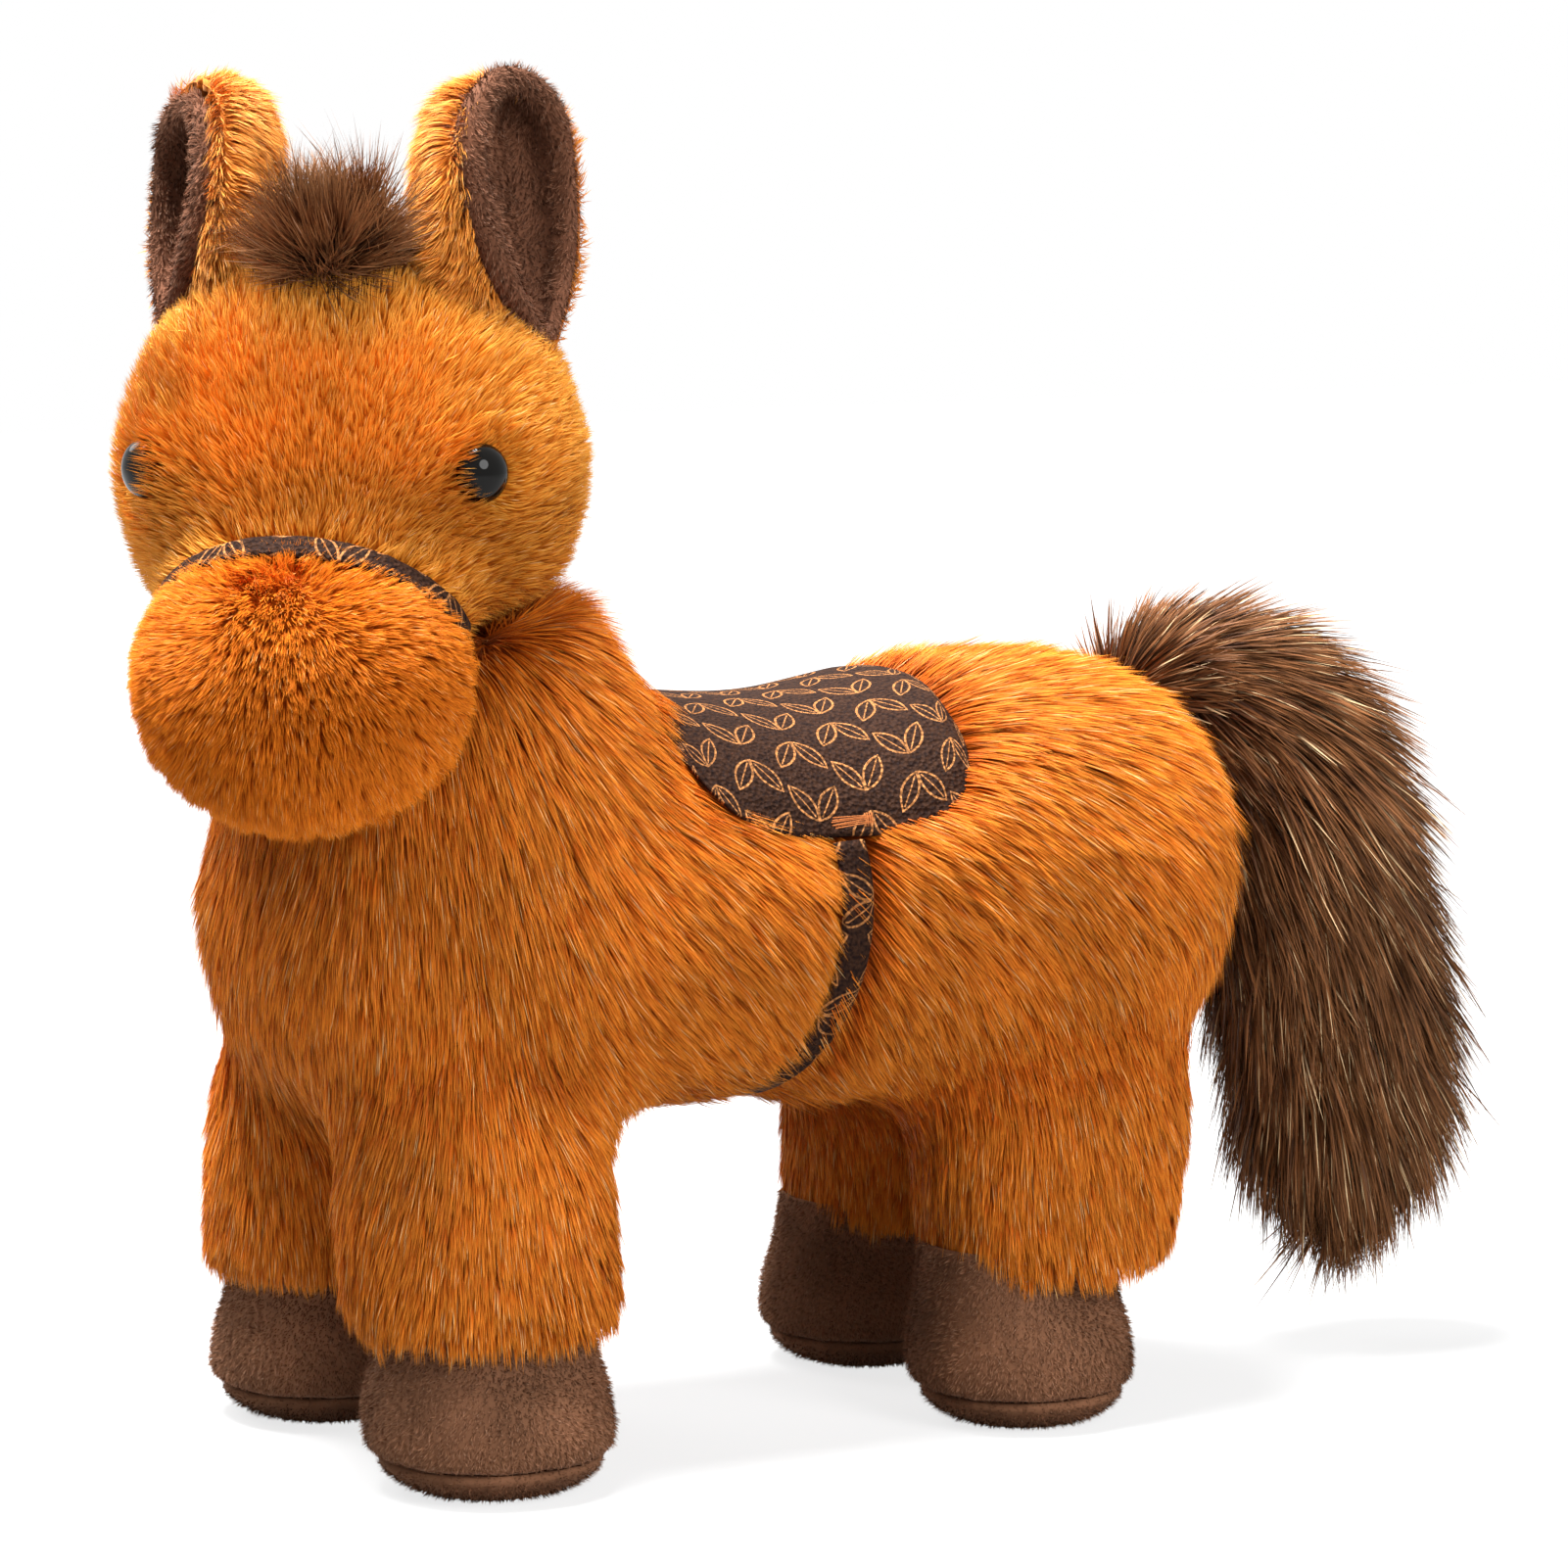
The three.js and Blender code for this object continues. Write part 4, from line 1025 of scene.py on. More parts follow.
# As on the fur, the plush's darker root colour is painted shade, and its lighter tip and glint colours are
# painted light.
hoof_plush = fur_material(
    "hoof plush", ((0.140, 0.057, 0.027), (0.235, 0.106, 0.055), (0.39, 0.195, 0.113), (0.48, 0.30, 0.20)),
    glints=0.06, spread=0.16, patches=0.3, roughness=0.8, sheen=0.3, specular=0.06)
ear_plush = fur_material(
    "ear plush", ((0.080, 0.030, 0.014), (0.160, 0.063, 0.033), (0.32, 0.150, 0.088), (0.40, 0.25, 0.18)),
    glints=0.08, spread=0.3, patches=0.25, roughness=0.8, sheen=0.4, specular=0.1)
suede = suede_material()
eye_black = plain("eye black", (0.003, 0.0025, 0.002), 0.04, specular=0.15)
thread = plain("brown thread", (0.40, 0.125, 0.035), 0.8, specular=0.1)
white_fibre = plain("white fibre", (0.85, 0.83, 0.78), 0.95, 0.05)
white_plastic = plain("white plastic", (0.8, 0.8, 0.78), 0.5, 0.02)
print("finishes:", len(bpy.data.materials))

# %% [markdown]
# ## Hooves
# Each hoof is a short plush boot and a sole that meet at a seam just above the floor. Level rings
# follow the CAD form, drawn in at the seam. Short ribbons of one part each stand for the plush.

# %% Hooves
HOOF_ROUND = 64
HOOF_WIDTH, HOOF_LENGTH, HOOF_TOP, SOLE = 52 * MM, 52.5 * MM, 38 * MM, 7.2 * MM
HOOF_END, HOOF_BULGE, TREAD = 0.4, 2.4, 1.3 * MM
HOOF_PILE, HOOF_NAP = 0.9 * MM, 1.7 * MM
HOOF_SHAPES = {"front": (FRONT_LEG, 1.0, 0.866, 0.889), "hind": (HIND_LEG, 0.94, 0.807, 0.842)}
SEAM_DEPTH, SEAM_HALF = 1.5 * MM, 0.15 * MM
UPPER_HAIRS, SOLE_HAIRS = 16000, 5000
TREAD_SHARES = np.array([0.02, 0.4, 0.75])[:, None, None]
PLUSH_LOOK = dict(width=0.3 * WIDEN * MM, lift=62, lay=35, parts=1, stray=0.35, gather=0.5,
                  lock_size=1.6 * MM, wild=8)


def hoof_rings(middle, size, top_wide, top_deep, heights):
    """Level rings of a boot: superellipses whose half widths follow curves, closing to the floor."""
    s = (heights + TREAD) / (HOOF_TOP + TREAD)
    close = (1 - np.clip(1 - s / HOOF_END, 0, 1) ** HOOF_BULGE) ** (1 / HOOF_BULGE)
    wide = smooth_curve([size, size, 0.98 * size, top_wide, 0.97 * top_wide], s)
    deep = smooth_curve([size, size, 0.97 * size, top_deep, 0.95 * top_deep], s)
    half_x = (HOOF_WIDTH / 2 * wide - HOOF_PILE) * close
    half_y = (HOOF_LENGTH / 2 * deep - HOOF_PILE) * close
    turn = np.linspace(0, 2 * math.pi, HOOF_ROUND, endpoint=False)
    c, n = np.cos(turn), np.sin(turn)
    reach = (np.abs(c) ** 2.1 + np.abs(n) ** 2.1) ** (-1 / 2.1)
    x = middle[0] * (1 - 0.1 * s[:, None]) + half_x[:, None] * c * reach
    y = middle[1] + half_y[:, None] * n * reach
    return np.stack([x, y, np.broadcast_to(heights[:, None], x.shape)], -1)


def capped(rings):
    """Rings joined into a closed form, with a fan to the middle of the first and the last ring."""
    rows, columns, _ = rings.shape
    points = np.concatenate([rings.reshape(-1, 3), rings[:1].mean(1), rings[-1:].mean(1)])
    faces = [list(f) for f in grid_faces(rows, columns, True)]
    low, high, last = rows * columns, rows * columns + 1, (rows - 1) * columns
    faces += [[low, (k + 1) % columns, k] for k in range(columns)]
    faces += [[high, last + k, last + (k + 1) % columns] for k in range(columns)]
    return points, faces


def pinched(rings, at, depth):
    """Draws rings in near the height at, and puckers them between stitches, as a seam pulls cloth."""
    middle = rings.mean(1, keepdims=True)
    turn = np.linspace(0, 2 * math.pi, rings.shape[1], endpoint=False)[None, :, None]
    z = rings[..., 2:]
    pull = depth * np.exp(-((z - at) / (1.0 * MM)) ** 2) * (1 + 0.3 * np.sin(9 * turn + 1))
    pucker = 0.25 * MM * np.exp(-((z - at) / (3.5 * MM)) ** 2) * np.sin(21 * turn)
    way = unit((rings - middle) * [1, 1, 0] + 1e-9)
    return rings - way * (pull + pucker)


def plush_piece(name, rings, closed, count, comb, material, length, thick=BACKING, clear=None):
    """A cloth wall with short plush on its outer side, which is away from the piece's middle or the
    way that clear gives. It stands for the CAD node of its name without the last word."""
    rng = np.random.default_rng(len(name) * 977 + sum(map(ord, name)))
    rows, columns, _ = rings.shape
    co = rings.reshape(-1, 3)
    quads = grid_faces(rows, columns, closed)
    if clear is None:
        co, quads = facing_out(co, quads, co.mean(0))
    elif (outward(co, quads) * clear(co)).sum() < 0:
        quads = quads[:, ::-1]
    root, out = roots(co, quads, count, rng)
    hair = strands(root, out, comb(root), rng, length(root) if callable(length) else length, **PLUSH_LOOK)
    hair[..., 2] = np.maximum(hair[..., 2], 0.05 * MM)
    piece = furred(name, shell(co, quads, thick), hair, rng, 0.5)
    sewn_on(piece, material, [name.removesuffix("_plush")])


def hoof_nap(p):
    """Short plush, worn shorter still beside the seam of the sole, which stays in view."""
    return HOOF_NAP * (0.3 + 0.7 * eased(np.abs(p[:, 2] - SOLE), 0.6 * MM, 3 * MM))


def upper_comb(p):
    """Down the boot."""
    return DOWN + 0.3 * swirl(p, 0.02, 15)


def sole_comb(p):
    """Outward from the floor under the middle of the hoof."""
    return unit(p - [*spot, 0.0]) + 0.3 * swirl(p, 0.02, 16)


for place, (middle, *form) in HOOF_SHAPES.items():
    for side, way in SIDES:
        spot = middle * [way, 1]
        upper = hoof_rings(spot, *form, np.linspace(SOLE + SEAM_HALF, HOOF_TOP, 30))
        sole = hoof_rings(spot, *form, np.linspace(0.1 * MM, SOLE - SEAM_HALF, 12))
        centre = sole[:1].mean(1, keepdims=True)
        tread = centre + (sole[:1] - centre) * TREAD_SHARES
        sole = np.concatenate([tread, pinched(sole, SOLE, SEAM_DEPTH)])
        plush_piece(f"hoof_upper_{place}_{side}_plush", pinched(upper, SOLE, SEAM_DEPTH), True,
                    UPPER_HAIRS, upper_comb, hoof_plush, hoof_nap)
        plush_piece(f"hoof_sole_{place}_{side}_plush", sole, True,
                    SOLE_HAIRS, sole_comb, hoof_plush, hoof_nap)
print("hooves: four uppers and four soles of", UPPER_HAIRS, "and", SOLE_HAIRS, "hairs each")

# %% [markdown]
# ## Ears
# An ear is a cupped leaf of fur with a plush leaf laid in its hollow. The plush is rolled thick along
# the front rim and round the top, and lies deeper behind a fold, so each leaf is a grid whose height
# above the cup follows a profile across it.

# %% Ears
EAR_HEIGHT, EAR_WIDTH, EAR_SPACING, EAR_SET_BACK = 57 * MM, 40 * MM, 80 * MM, 2 * MM
HEAD_HEIGHT = 96 * MM
EAR_LEAN, EAR_CUP = math.radians(9), math.radians(66)
EAR_TURN = {"left": math.radians(67), "right": math.radians(57)}
BACK_WIDE, BACK_SPAN = 0.93, (0.0, 0.95)
LINING_WIDE, LINING_SPAN = 0.84, {"left": (0.04, 0.945), "right": (0.10, 0.84)}
ROLL = 4.0 * MM
EAR_HAIRS, CROWN_HAIRS, LINING_HAIRS = 22000, 900, 11000
EAR_LOOK = dict(width=0.26 * WIDEN * MM, parts=2, lock_size=2.4 * MM)


def ear_surface(way, turn, wide, span, lift, v, u):
    """A leaf cupped round its length: up it by v over the span of the ear's height, across it by u from
    -1 to 1, raised by lift. Its half width closes to a round top."""
    foot = HEAD_CENTRE + HEAD_LEFT * way * EAR_SPACING / 2 - FACE_LEVEL * EAR_SET_BACK
    foot = foot + UP * (HEAD_HEIGHT / 2 - 0.44 * EAR_HEIGHT)
    opens = turned_by(FACE_LEVEL, UP, way * turn)
    tip_way = turned_by(UP, FACE_LEVEL, way * EAR_LEAN)
    across = unit(np.cross(tip_way, opens))
    top = (1 - np.clip((v - 0.62) / 0.38, 0, 1) ** 2.6) ** (1 / 2.2)
    taper = smooth_curve([0.10, 0.66, 0.93, 1, 0.97], v)
    half = (EAR_WIDTH / 2 * wide * taper * top)[..., None]
    bend = (u * EAR_CUP)[..., None]
    normal = opens * np.cos(bend) - across * np.sin(bend)
    along = (span[0] + (span[1] - span[0]) * v)[..., None]
    middle = foot + tip_way * along * EAR_HEIGHT + across * half * np.sin(bend) / math.sin(EAR_CUP)
    deep = EAR_WIDTH / 2 / math.sin(EAR_CUP)
    hollow = (taper * (0.35 + 0.65 * top))[..., None]
    middle = middle - opens * deep * (np.cos(bend) - math.cos(EAR_CUP)) * hollow
    return middle + normal * np.asarray(lift)[..., None], opens, tip_way, across


def lining_surface(way, turn, span):
    """The plush leaf as a grid from the outer side of the front rim, round a roll along that rim, across
    the hollow and round a slimmer roll at the rear rim. A roll is part of a circle about the rim, in the
    plane of the rim's outward way and the leaf's face way."""
    v = np.sin(np.linspace(0, math.pi / 2, 44))
    front = -way
    u = front * np.linspace(1, -1, 34)
    vv, uu = np.meshgrid(v, u, indexing="ij")
    share = (1 - front * uu) / 2
    roll, slim = ROLL * (0.55 + 0.45 * eased(vv, 0, 0.35)), 0.5 * ROLL * (1 + eased(vv, 0.6, 1))
    lift = np.maximum(roll * (1 - eased(share, 0.06, 0.24)), slim * (1 - eased(1 - share, 0.02, 0.16)))
    inner, opens, tip_way, across = ear_surface(way, turn, LINING_WIDE, span, 0.5 * MM + lift, vv, uu)
    parts = [inner]
    for edge, radius, first in ((front, roll[:, 0], True), (-front, slim[:, -1], False)):
        rim = ear_surface(way, turn, LINING_WIDE, span, 0.5 * MM + 0 * v, v, edge + 0 * v)[0]
        bend = edge * EAR_CUP
        face = opens * math.cos(bend) - across * math.sin(bend)
        tangent = unit(np.gradient(rim, axis=0))
        outer = unit(np.cross(tangent, face))
        outer = outer * np.sign((outer * (rim - inner.mean((0, 1)))).sum(1, keepdims=True))
        angle = np.radians(np.linspace(78, -95, 12))
        tube = (rim[:, None] + radius[:, None, None] * (outer[:, None] * np.cos(angle)[None, :, None]
                                                        + face * np.sin(angle)[None, :, None]))
        parts = [tube[:, ::-1]] + parts if first else parts + [tube]
    return np.concatenate(parts, 1), opens, tip_way


rows, columns = 40, 40
v, u = np.meshgrid(np.sin(np.linspace(0, math.pi / 2, rows)), np.linspace(-1, 1, columns), indexing="ij")
for side, way in SIDES:
    turn = EAR_TURN[side]
    stuffed = 8 * MM * eased(-way * u, -0.4, 0.95) * (1 - eased(v, 0.2, 0.95))
    back, opens, tip_way, across = ear_surface(way, turn, BACK_WIDE, BACK_SPAN, -2.5 * MM - stuffed, v, u)
    share = np.linspace(0, 1, 7)[:-1]
    walls = []
    for column in (0, -1):
        rim = -0.4 * MM + 0 * v[:, 0]
        edge = ear_surface(way, turn, BACK_WIDE, BACK_SPAN, rim, v[:, 0], u[:, column])[0]
        away = unit(back[:, column] - back.mean(1))
        wall = edge[:, None] + (back[:, column] - edge)[:, None] * share[:, None]
        walls.append(wall + away[:, None] * (1.2 * MM * np.sin(share * math.pi))[:, None])
    face = np.concatenate([walls[0], back, walls[1][:, ::-1]], 1)
    co, quads = face.reshape(-1, 3), grid_faces(*face.shape[:2], False)
    if (outward(co, quads) @ opens).sum() > 0:
        quads = quads[:, ::-1]
    rng = np.random.default_rng(70 + way)
    root, out = roots(co, quads, EAR_HAIRS, rng)
    clear = np.linalg.norm(root - HEAD_CENTRE, axis=1) > 0.045
    root, out = root[clear], out[clear]
    ahead = eased(-way * ((root - back.mean((0, 1))) @ across), -0.002, 0.010)[:, None]
    comb = -0.6 * tip_way * ahead - 0.5 * way * across * ahead - opens * (1.4 - 0.5 * ahead)
    comb = comb + 0.25 * swirl(root, 0.02, 9)
    ahead = ahead[:, 0]
    hair = strands(root, out, comb, rng, (3.6 + 2.4 * ahead) * MM, lift=44 + 14 * ahead, lay=14,
                   stray=0.12, gather=0.25, **EAR_LOOK)
    share = rng.uniform(0.35, 1, (int(CROWN_HAIRS * DENSITY), 1))
    crown = edge[-1] + (back[-1].mean(0) - edge[-1]) * share
    crown = crown + across * rng.normal(0, 2 * MM, (len(crown), 1)) - tip_way * 0.8 * MM
    upward = unit(tip_way + 0.2 * rng.normal(size=crown.shape))
    comb = across * rng.normal(0, 0.7, (len(crown), 1)) - 1.5 * opens
    top = strands(crown, upward, comb, rng, 5 * MM, lift=70, lay=10, stray=0.3, gather=0.1, **EAR_LOOK)
    piece = furred(f"ear_fur_{side}", shell(co, quads, BACKING), np.concatenate([hair, top]), rng)
    sewn_on(piece, ear_fur, [f"ear_back_{side}"])
    lining, opens, tip_way = lining_surface(way, turn, LINING_SPAN[side])
    plush_piece(f"ear_lining_{side}_plush", lining, False, LINING_HAIRS,
                lambda p: -tip_way + 0.6 * swirl(p, 0.008, 17), ear_plush, 2.0 * MM, 0.5 * MM,
                lambda p: np.broadcast_to(opens, p.shape))
    print("ear", side, len(hair) + len(top), "hairs on its back")

# %% [markdown]
# ## Forelock
# The forelock is a tuft of longer brown fur on a small disc sewn to the brow. Its hairs part from one point,
# with painted shade that makes them dark at the root, and fan up and sideways. A low dome carries the ribbons
# here, so that they start at different heights and leave no bald ring.

# %% Forelock
DOME_RINGS, DOME_ROUND, DOME_RADIUS, DOME_RISE = 12, 28, 0.010, 0.016
FORELOCK_HAIRS = 9000

brow = HEAD_CENTRE + FACE_LEVEL * 0.018 + UP * 0.041 + HEAD_LEFT * 0.001
rise, turn = np.meshgrid(np.linspace(0.02, 1, DOME_RINGS),
                         np.linspace(0, 2 * math.pi, DOME_ROUND, endpoint=False), indexing="ij")
ring = (DOME_RADIUS * np.sin(rise * math.pi / 2))[..., None]
tilt = unit(0.75 * UP + 0.65 * FACE_LEVEL)
level = np.cross(HEAD_LEFT, tilt)
rings = brow + tilt * (DOME_RISE * np.cos(rise * math.pi / 2) - 0.006)[..., None]
rings = rings + HEAD_LEFT * ring * np.cos(turn)[..., None] + 0.8 * level * ring * np.sin(turn)[..., None]
whorl = brow + 0.010 * FACE_LEVEL - 0.003 * UP


def forelock_comb(p):
    """Outward from the whorl, more up and to the sides than to the front."""
    away = unit(p - whorl)
    return away - 0.6 * FACE_LEVEL * (away @ FACE_LEVEL)[:, None] + 0.35 * UP


def forelock_length(p):
    """Long above the whorl and short below it."""
    return (8 + 9 * eased(unit(p - whorl) @ UP, -0.1, 0.7)) * MM


rng = np.random.default_rng(81)
dome, quads = facing_out(rings.reshape(-1, 3), grid_faces(DOME_RINGS, DOME_ROUND, True), brow)
root, out = roots(dome, quads, FORELOCK_HAIRS, rng)
hair = strands(root, out, forelock_comb(root), rng, forelock_length(root), 0.26 * WIDEN * MM, 62, 26,
               stray=0.5, gather=0.65, lock_size=3.2 * MM, uneven=0.35, wild=9)
piece = furred("forelock_fur", shell(dome, quads, BACKING), hair, rng)
sewn_on(piece, forelock_fur, ["forelock"])
print("forelock:", len(hair), "hairs")

# %% [markdown]
# ## Tail
# The tail is a slim filled tube of cloth sewn to the rump, covered with the longest fur of the toy.
# Rings about a smooth curve make the tube, and each ribbon follows the curve where it is nearest, so
# the plume swings over and hangs down as one. It rides on the body that the tail joint turns.

# %% Tail
TAIL_ROOT = np.array([0, 0.0819, 0.1524])
TAIL_PATH = TAIL_ROOT + np.array([[0, -6.2, -5.6], [0, 9.9, 0], [0, 29.8, -14], [0, 45.9, -50.4],
                                  [0, 54.6, -96.6], [0, 45.9, -137.2]]) * MM
TAIL_END, TAIL_RINGS, TAIL_ROUND = 0.86, 40, 28
TAIL_HALF_WIDE, TAIL_HALF_DEEP, CORE_SHARE = 15 * MM, 18 * MM, 0.6
TAIL_HAIRS = 35000

tail_share = np.linspace(0, TAIL_END, TAIL_RINGS)
tail_line = smooth_curve(TAIL_PATH, tail_share)
tail_way = unit(np.gradient(tail_line, axis=0))
tail_side = np.array([1.0, 0, 0])
tail_up = np.cross(tail_way, tail_side)
turn = np.linspace(0, 2 * math.pi, TAIL_ROUND, endpoint=False)
fat = np.clip(np.sin(np.clip(tail_share / TAIL_END, 0, 1) * math.pi) ** 0.25, 0.12, 1)
half_x = TAIL_HALF_WIDE * smooth_curve([0.62, 0.75, 0.95, 1, 1.05, 1], tail_share) * fat
half_y = TAIL_HALF_DEEP * smooth_curve([0.45, 0.62, 0.95, 1, 1.15, 1.15], tail_share) * fat
rings = (tail_line[:, None] + tail_side * (half_x[:, None] * np.cos(turn))[..., None]
         + tail_up[:, None] * (half_y[:, None] * np.sin(turn))[..., None])
co, quads = facing_out(rings.reshape(-1, 3), grid_faces(TAIL_RINGS, TAIL_ROUND, True),
                       np.repeat(tail_line, TAIL_ROUND, axis=0))


def tail_comb(p):
    """Along the tail's line where it is nearest, and a little down."""
    near = ((p[:, None] - tail_line[None]) ** 2).sum(2).argmin(1)
    return tail_way[near] + 0.25 * DOWN + 0.12 * swirl(p, 0.05, 13)


rng = np.random.default_rng(91)
root, out = roots(co, quads, TAIL_HAIRS, rng)
free = eased(np.linalg.norm(root - TAIL_PATH[0], axis=1), 0.012, 0.045)
hair = strands(root, out, tail_comb(root), rng, (18 + 14 * free) * MM, 0.44 * WIDEN * MM, 18 + 14 * free,
               4 + 8 * free, stray=0.14, gather=0.45, lock_size=4 * MM)
piece = furred("tail_fur", shell(co, quads, BACKING), hair, rng)
sewn_on(piece, dark_mane, ["tail_skin"], body="tail")
core = tail_line[:, None] + CORE_SHARE * (rings - tail_line[:, None])
piece = made_piece("tail_filling", *capped(core), [white_fibre], body="tail", slot="fibre_fill",
                   replaced=["tail_stuffing"])
print("tail:", len(hair), "hairs")

# %% [markdown]
# ## Fillings
# Loose polyester fibre fills the body and the head. It isn't seen, so it is the drawn-in skin once
# more, moved further in by the thickness of the cloth.

# %% Fillings
CLOTH_ROOM = 2.6 * MM

for part, co, quads in (("body", body_co, body_quads), ("head", head_co, head_quads)):
    piece = made_piece(f"{part}_filling", drawn_in(co, quads, CLOTH_ROOM), quads, [white_fibre],
                       slot="fibre_fill", replaced=[f"{part}_stuffing"])
    print(piece.name, len(piece.data.polygons), "faces")

# %% [markdown]
# ## Eyes
# Each eye is a moulded black button: a dome on a shank that passes through the cloth. A half circle
# turned about the eye's axis gives the dome, which is a little flatter than a half ball.

# %% Eyes
SHANK, SHANK_LONG, DOME_BACK = 1.8 * MM, 4.3 * MM, 0.3 * MM

for side, axis in EYE_AXES.items():
    seat = HEAD_CENTRE + axis * EYE_REACH
    u = unit(np.cross(axis, UP))
    v = np.cross(axis, u)
    climb = np.linspace(0, math.pi / 2 * 0.999, 18)
    radius, height = EYE_RADIUS * np.cos(climb), 0.16 * EYE_DOME + 0.68 * EYE_DOME * np.sin(climb)
    radius = np.concatenate([[SHANK, SHANK, 0.9 * EYE_RADIUS], radius])
    height = np.concatenate([[-SHANK_LONG, DOME_BACK, DOME_BACK], height])
    turn = np.linspace(0, 2 * math.pi, 40, endpoint=False)
    rings = (seat + axis * height[:, None, None] + u * (radius[:, None] * np.cos(turn))[..., None]
             + v * (radius[:, None] * np.sin(turn))[..., None])
    made_piece(f"eye_{side}_button", *capped(rings), [eye_black], slot="eye_button", replaced=[f"eye_{side}"])
    washer = nodes[f"eye_washer_{side}"].data.materials
    washer.clear()
    washer.append(white_plastic)
    print("eye", side, "at", seat.round(4))

# %% [markdown]
# ## Saddle pad, girth and noseband
# The tack is cut from one printed cloth. All of it could be draped by a cloth simulation, but it is
# stiff and sewn down. So the pad and the girth are grids on the formula of the barrel, sunk a little
# in its fur, and the noseband's grid is laid on the head by a Shrinkwrap modifier, because a relaxed
# skin has no formula. Each gets a wall that is thin at its edges, and stitches hold the girth to the
# pad's hems.

# %% Tack
SHIFT_Y = -0.0303
TORSO_MIDDLE, TORSO_CENTRE = 0.01104 + SHIFT_Y, 0.114
TORSO_LENGTH, TORSO_WIDTH, TORSO_HEIGHT = 0.230, 0.116, 0.096
TORSO_POWER = 2.25
BAND_ENDS, BAND_LEAST, BAND_PROBE = (-52, 202), 24 * MM, 0.040
GIRTH_ENDS, GIRTH_SINK = (24, -204), -3.4
STRAP_ROWS = 7
THREAD, TACK_LONG, TACK_ROWS, PAD_FACE = 0.13 * MM, 9 * MM, 6, 0.55 * MM


def barrel(y, turn, grow):
    """The torso's face: a superellipse section at y, at the angle turn from its left side."""
    s = (y - TORSO_MIDDLE) / TORSO_LENGTH + 0.5
    wide = TORSO_WIDTH / 2 * smooth_curve([0.94, 0.96, 0.93, 1, 1], s) + grow
    deep = TORSO_HEIGHT / 2 * smooth_curve([0.92, 0.93, 0.92, 1.02, 1.02], s) + grow
    centre = TORSO_CENTRE + TORSO_HEIGHT * smooth_curve([-0.02, -0.02, -0.03, 0, 0], s)
    c, n = np.cos(turn), np.sin(turn)
    reach = (np.abs(c) ** TORSO_POWER + np.abs(n) ** TORSO_POWER) ** (-1 / TORSO_POWER)
    return np.stack(np.broadcast_arrays(wide * c * reach, y, centre + deep * n * reach), -1)


def laid(grid, skin, way):
    """The grid's points moved along a way each, onto a skin, by a Shrinkwrap modifier that follows the
    normals of the grid's own face."""
    rows, columns, _ = grid.shape
    quads = grid_faces(rows, columns, False)
    co = grid.reshape(-1, 3)
    if (outward(co, quads) * way(co)).sum() < 0:
        quads = quads[:, ::-1]
    made = []
    for name, points, faces in (("skin", *skin), ("strip", co, quads)):
        mesh = bpy.data.meshes.new(name)
        mesh.from_pydata(points, [], faces)
        made.append(bpy.data.objects.new(name, mesh))
        bpy.context.collection.objects.link(made[-1])
    lay = made[1].modifiers.new("lay", "SHRINKWRAP")
    lay.target, lay.wrap_method = made[0], "PROJECT"
    lay.use_negative_direction, lay.use_positive_direction = True, True
    data = made[1].evaluated_get(bpy.context.evaluated_depsgraph_get()).data
    points = np.empty(rows * columns * 3)
    data.vertices.foreach_get("co", points)
    for item in made:
        bpy.data.objects.remove(item)
    return points.reshape(grid.shape)


def cloth_strip(name, grid, replaced, thick, away):
    """A piece of tack whose outer face is the grid, with a wall thick inward and its own map of the
    cloth in mm, from the lengths along its rows and columns. Gives the piece and its flat size, measured
    along its middle column and its middle row."""
    rows, columns, _ = grid.shape
    quads = grid_faces(rows, columns, False)
    co = grid.reshape(-1, 3)
    normal = outward(co, quads)
    if (normal * away(co)).sum() < 0:
        quads, normal = quads[:, ::-1], -normal
    spans = [np.linalg.norm(np.diff(grid, axis=axis), axis=2) for axis in (0, 1)]
    u = np.concatenate([np.zeros((1, columns)), np.cumsum(spans[0], 0)], 0)
    v = np.concatenate([np.zeros((rows, 1)), np.cumsum(spans[1], 1)], 1)
    uv = np.stack([u - u[rows // 2], v - v[:, columns // 2:columns // 2 + 1]], -1).reshape(-1, 2) / MM
    wall, faces = shell(co, quads, 0)
    wall[len(co):] = co - normal * thick.reshape(-1, 1)
    piece = made_piece(name, wall, faces, [suede], slot="suede", replaced=[replaced],
                       uv=np.concatenate([uv, uv]))
    return piece, u[-1, columns // 2], np.ptp(v[rows // 2])


def from_middle(p):
    """The way out from the middle of the barrel, below the pad."""
    return p - [0, PAD_MIDDLE, 0.11]


rows, columns = 61, 97
s, t = np.meshgrid(np.linspace(-1, 1, rows), np.linspace(-1, 1, columns), indexing="ij")
s = np.sin(s * math.pi / 2 * 0.98) / math.sin(math.pi / 2 * 0.98)
y = PAD_MIDDLE + PAD_HALF * s
probe = np.linspace(0, math.pi / 2, 200)
side_z = barrel(y[:, :1], probe[None], 0)[..., 2]
limit = np.array([np.interp(e, z, probe) for e, z in zip(pad_hem(s)[:, 0], side_z)])[:, None]
rim = np.minimum(1 - np.abs(s), 1 - np.abs(t))
plump = eased(rim, 0, 0.16)
sink = 0.6 - 3.0 * eased(s, -0.9, 0.4) - 2.0 * eased(np.abs(t), 0.5, 1) + 0.7 * plump
grid = barrel(y, math.pi / 2 + t * (math.pi / 2 - limit), sink * MM)
saddle, width, length = cloth_strip("saddle_cloth", grid, "saddle_pad", (0.9 + 1.5 * plump) * MM, from_middle)
across = np.cross(grid[1:, 1:] - grid[:-1, :-1], grid[1:, :-1] - grid[:-1, 1:])

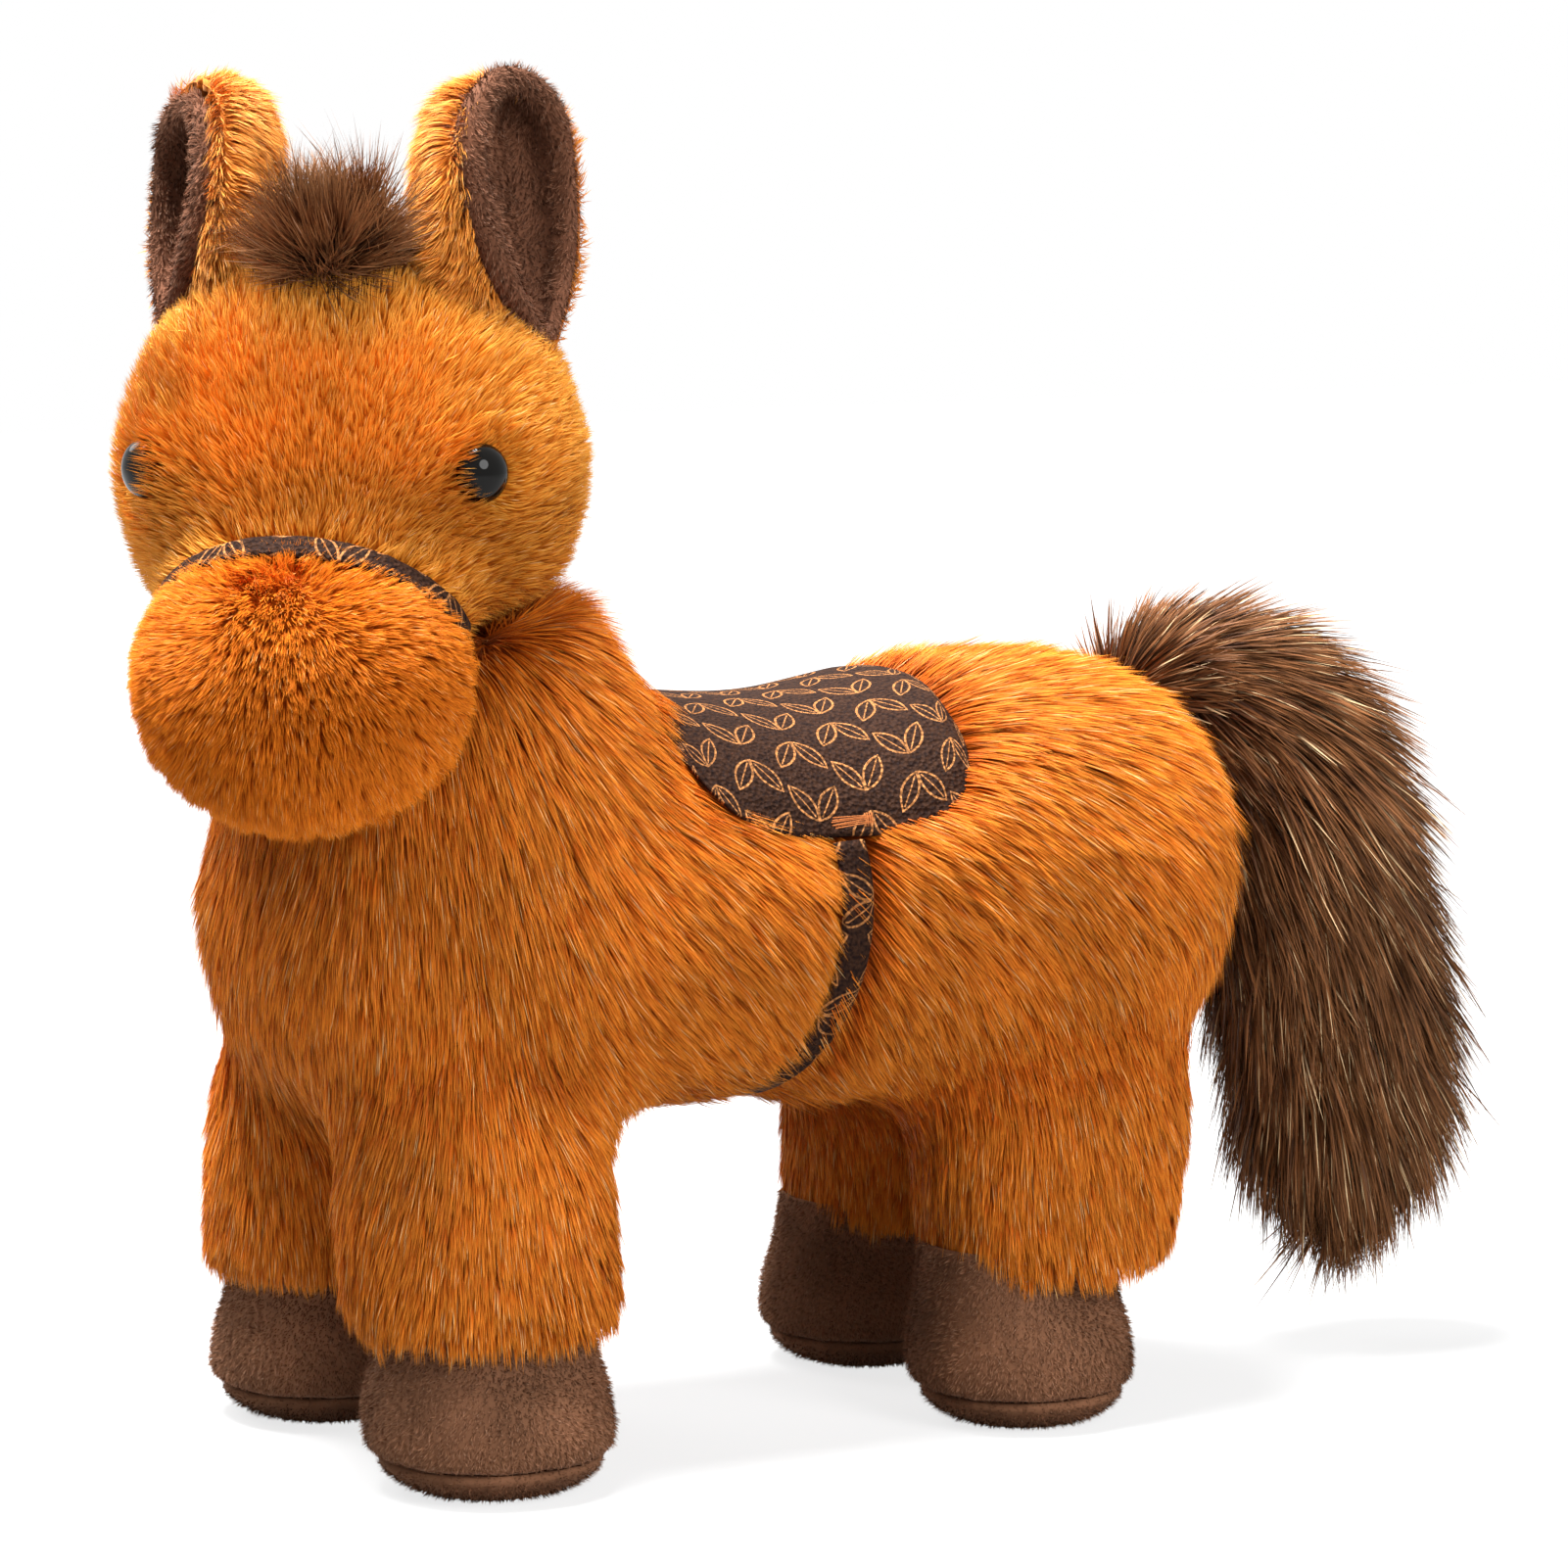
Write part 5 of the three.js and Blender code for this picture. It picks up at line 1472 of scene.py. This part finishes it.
start, end = map(math.radians, GIRTH_ENDS)
turn, w = np.meshgrid(np.linspace(start, end, 140), np.linspace(-0.5, 0.5, STRAP_ROWS), indexing="ij")
height = barrel(np.full_like(turn, PAD_MIDDLE), turn, 0)[..., 2]
plump = eased(0.5 - np.abs(w), 0, 0.2)
grid = barrel(PAD_MIDDLE + girth_bow(height) + w * GIRTH_WIDTH, turn, (GIRTH_SINK + 0.6 * plump) * MM)
cloth_strip("girth_cloth", grid, "girth_strap", (0.9 + 0.7 * plump) * MM, from_middle)

ring_middle = HEAD_CENTRE + band_way * ((band_middle - HEAD_CENTRE) @ band_way)
side = unit(np.cross(band_way, UP))
high = np.cross(side, band_way)
turn, w = np.meshgrid(np.radians(np.linspace(*BAND_ENDS, 97)), np.linspace(-0.5, 0.5, STRAP_ROWS),
                      indexing="ij")
spoke = side * np.cos(turn)[..., None] + high * np.sin(turn)[..., None]
beside = band_way * (w * BAND_WIDTH)[..., None]


def around(p):
    """The way out from the noseband's axis."""
    return p - ring_middle - ((p - ring_middle) @ band_way)[:, None] * band_way


on = laid(ring_middle + BAND_PROBE * spoke + beside, (head_co, head_quads), around)
reach = np.linalg.norm(around(on.reshape(-1, 3)), axis=1).reshape(turn.shape)
found = reach > BAND_LEAST
reach = np.stack([np.interp(turn[:, k], turn[found[:, k], k], reach[found[:, k], k])
                  for k in range(STRAP_ROWS)], 1)
on = ring_middle + spoke * reach[..., None] + beside
plump = eased(0.5 - np.abs(w), 0, 0.2)
cloth_strip("noseband_cloth", on + spoke * ((2.6 + 0.6 * plump) * MM)[..., None], "noseband",
            (0.9 + 0.9 * plump) * MM, around)
print("noseband radii in mm", (reach[::12, 3] / MM).round(1), "found", found.sum(), "of", found.size)


def stitches(name, start, end, out):
    """Short stitches as one mesh, each a round thread that arches from a start to an end."""
    t = np.linspace(0, 1, 9)
    line = start[:, None] + (end - start)[:, None] * t[:, None]
    line = line + out[:, None] * (THREAD * (1.6 * np.sin(math.pi * t) - 0.3))[:, None]
    way = unit(np.gradient(line, axis=1))
    across = unit(np.cross(way, out[:, None]))
    high = np.cross(across, way)
    turn = np.linspace(0, 2 * math.pi, 6, endpoint=False)[:, None]
    tube = line[:, :, None] + THREAD * (across[:, :, None] * np.cos(turn) + high[:, :, None] * np.sin(turn))
    count, steps, sides, _ = tube.shape
    end_faces = np.array([[0, 5, 4, 3], [0, 3, 2, 1]])
    one = np.concatenate([grid_faces(steps, sides, True), end_faces, end_faces + (steps - 1) * sides])
    faces = (one + (np.arange(count) * steps * sides)[:, None, None]).reshape(-1, 4)
    return made_piece(name, tube.reshape(-1, 3), faces, [thread])


hem_z = pad_hem(np.zeros(1))[0]


def on_pad(way, y, up):
    """Points on the pad's face on the left or the right, at y behind its middle and up from its hem."""
    turn = np.interp(hem_z + up, side_z[rows // 2], probe)
    return barrel(PAD_MIDDLE + y, turn if way > 0 else math.pi - turn, PAD_FACE)


rng = np.random.default_rng(55)
rows_up = np.linspace(0.5, 2.6, TACK_ROWS) * MM
bound_up = np.full(4, 1.5) * MM
for side, way in SIDES:
    slant = rng.uniform(-0.5, 0.5, (2, TACK_ROWS)) * MM
    first = on_pad(way, -0.6 * TACK_LONG + slant[0], rows_up + 0.4 * slant[1])
    last = on_pad(way, 0.4 * TACK_LONG + 0.5 * slant[1], 0.6 * rows_up + 0.7 * MM - 0.4 * slant[0])
    across = 0.4 * TACK_LONG - np.linspace(0.2, 1.7, 4) * MM
    start = np.concatenate([first, on_pad(way, across, bound_up - 1.3 * MM)])
    end = np.concatenate([last, on_pad(way, across + 0.3 * MM, bound_up + 1.3 * MM)])
    under = on_pad(way, np.zeros(len(start)), np.full(len(start), 1.5 * MM))
    out = unit((start + end) / 2 - under + 20 * MM * np.array([way, 0, 0.5]))
    stitches(f"bar_tack_{side}", start, end, out)
print("tack: pad, girth, noseband and two bar tacks of", len(start), "stitches")

# %% [markdown]
# ## Size
# The last step prints the box round all that is seen, and the number of triangles. It could be read in the
# viewport, but a script measures every piece at once.

# %% Measure the finished toy
low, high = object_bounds()
triangles = sum(len(p.vertices) - 2 for o in bpy.data.objects if o.type == "MESH" for p in o.data.polygons)
print("triangles", triangles)
print("visual box", [round(x, 4) for x in (*low, *high)])
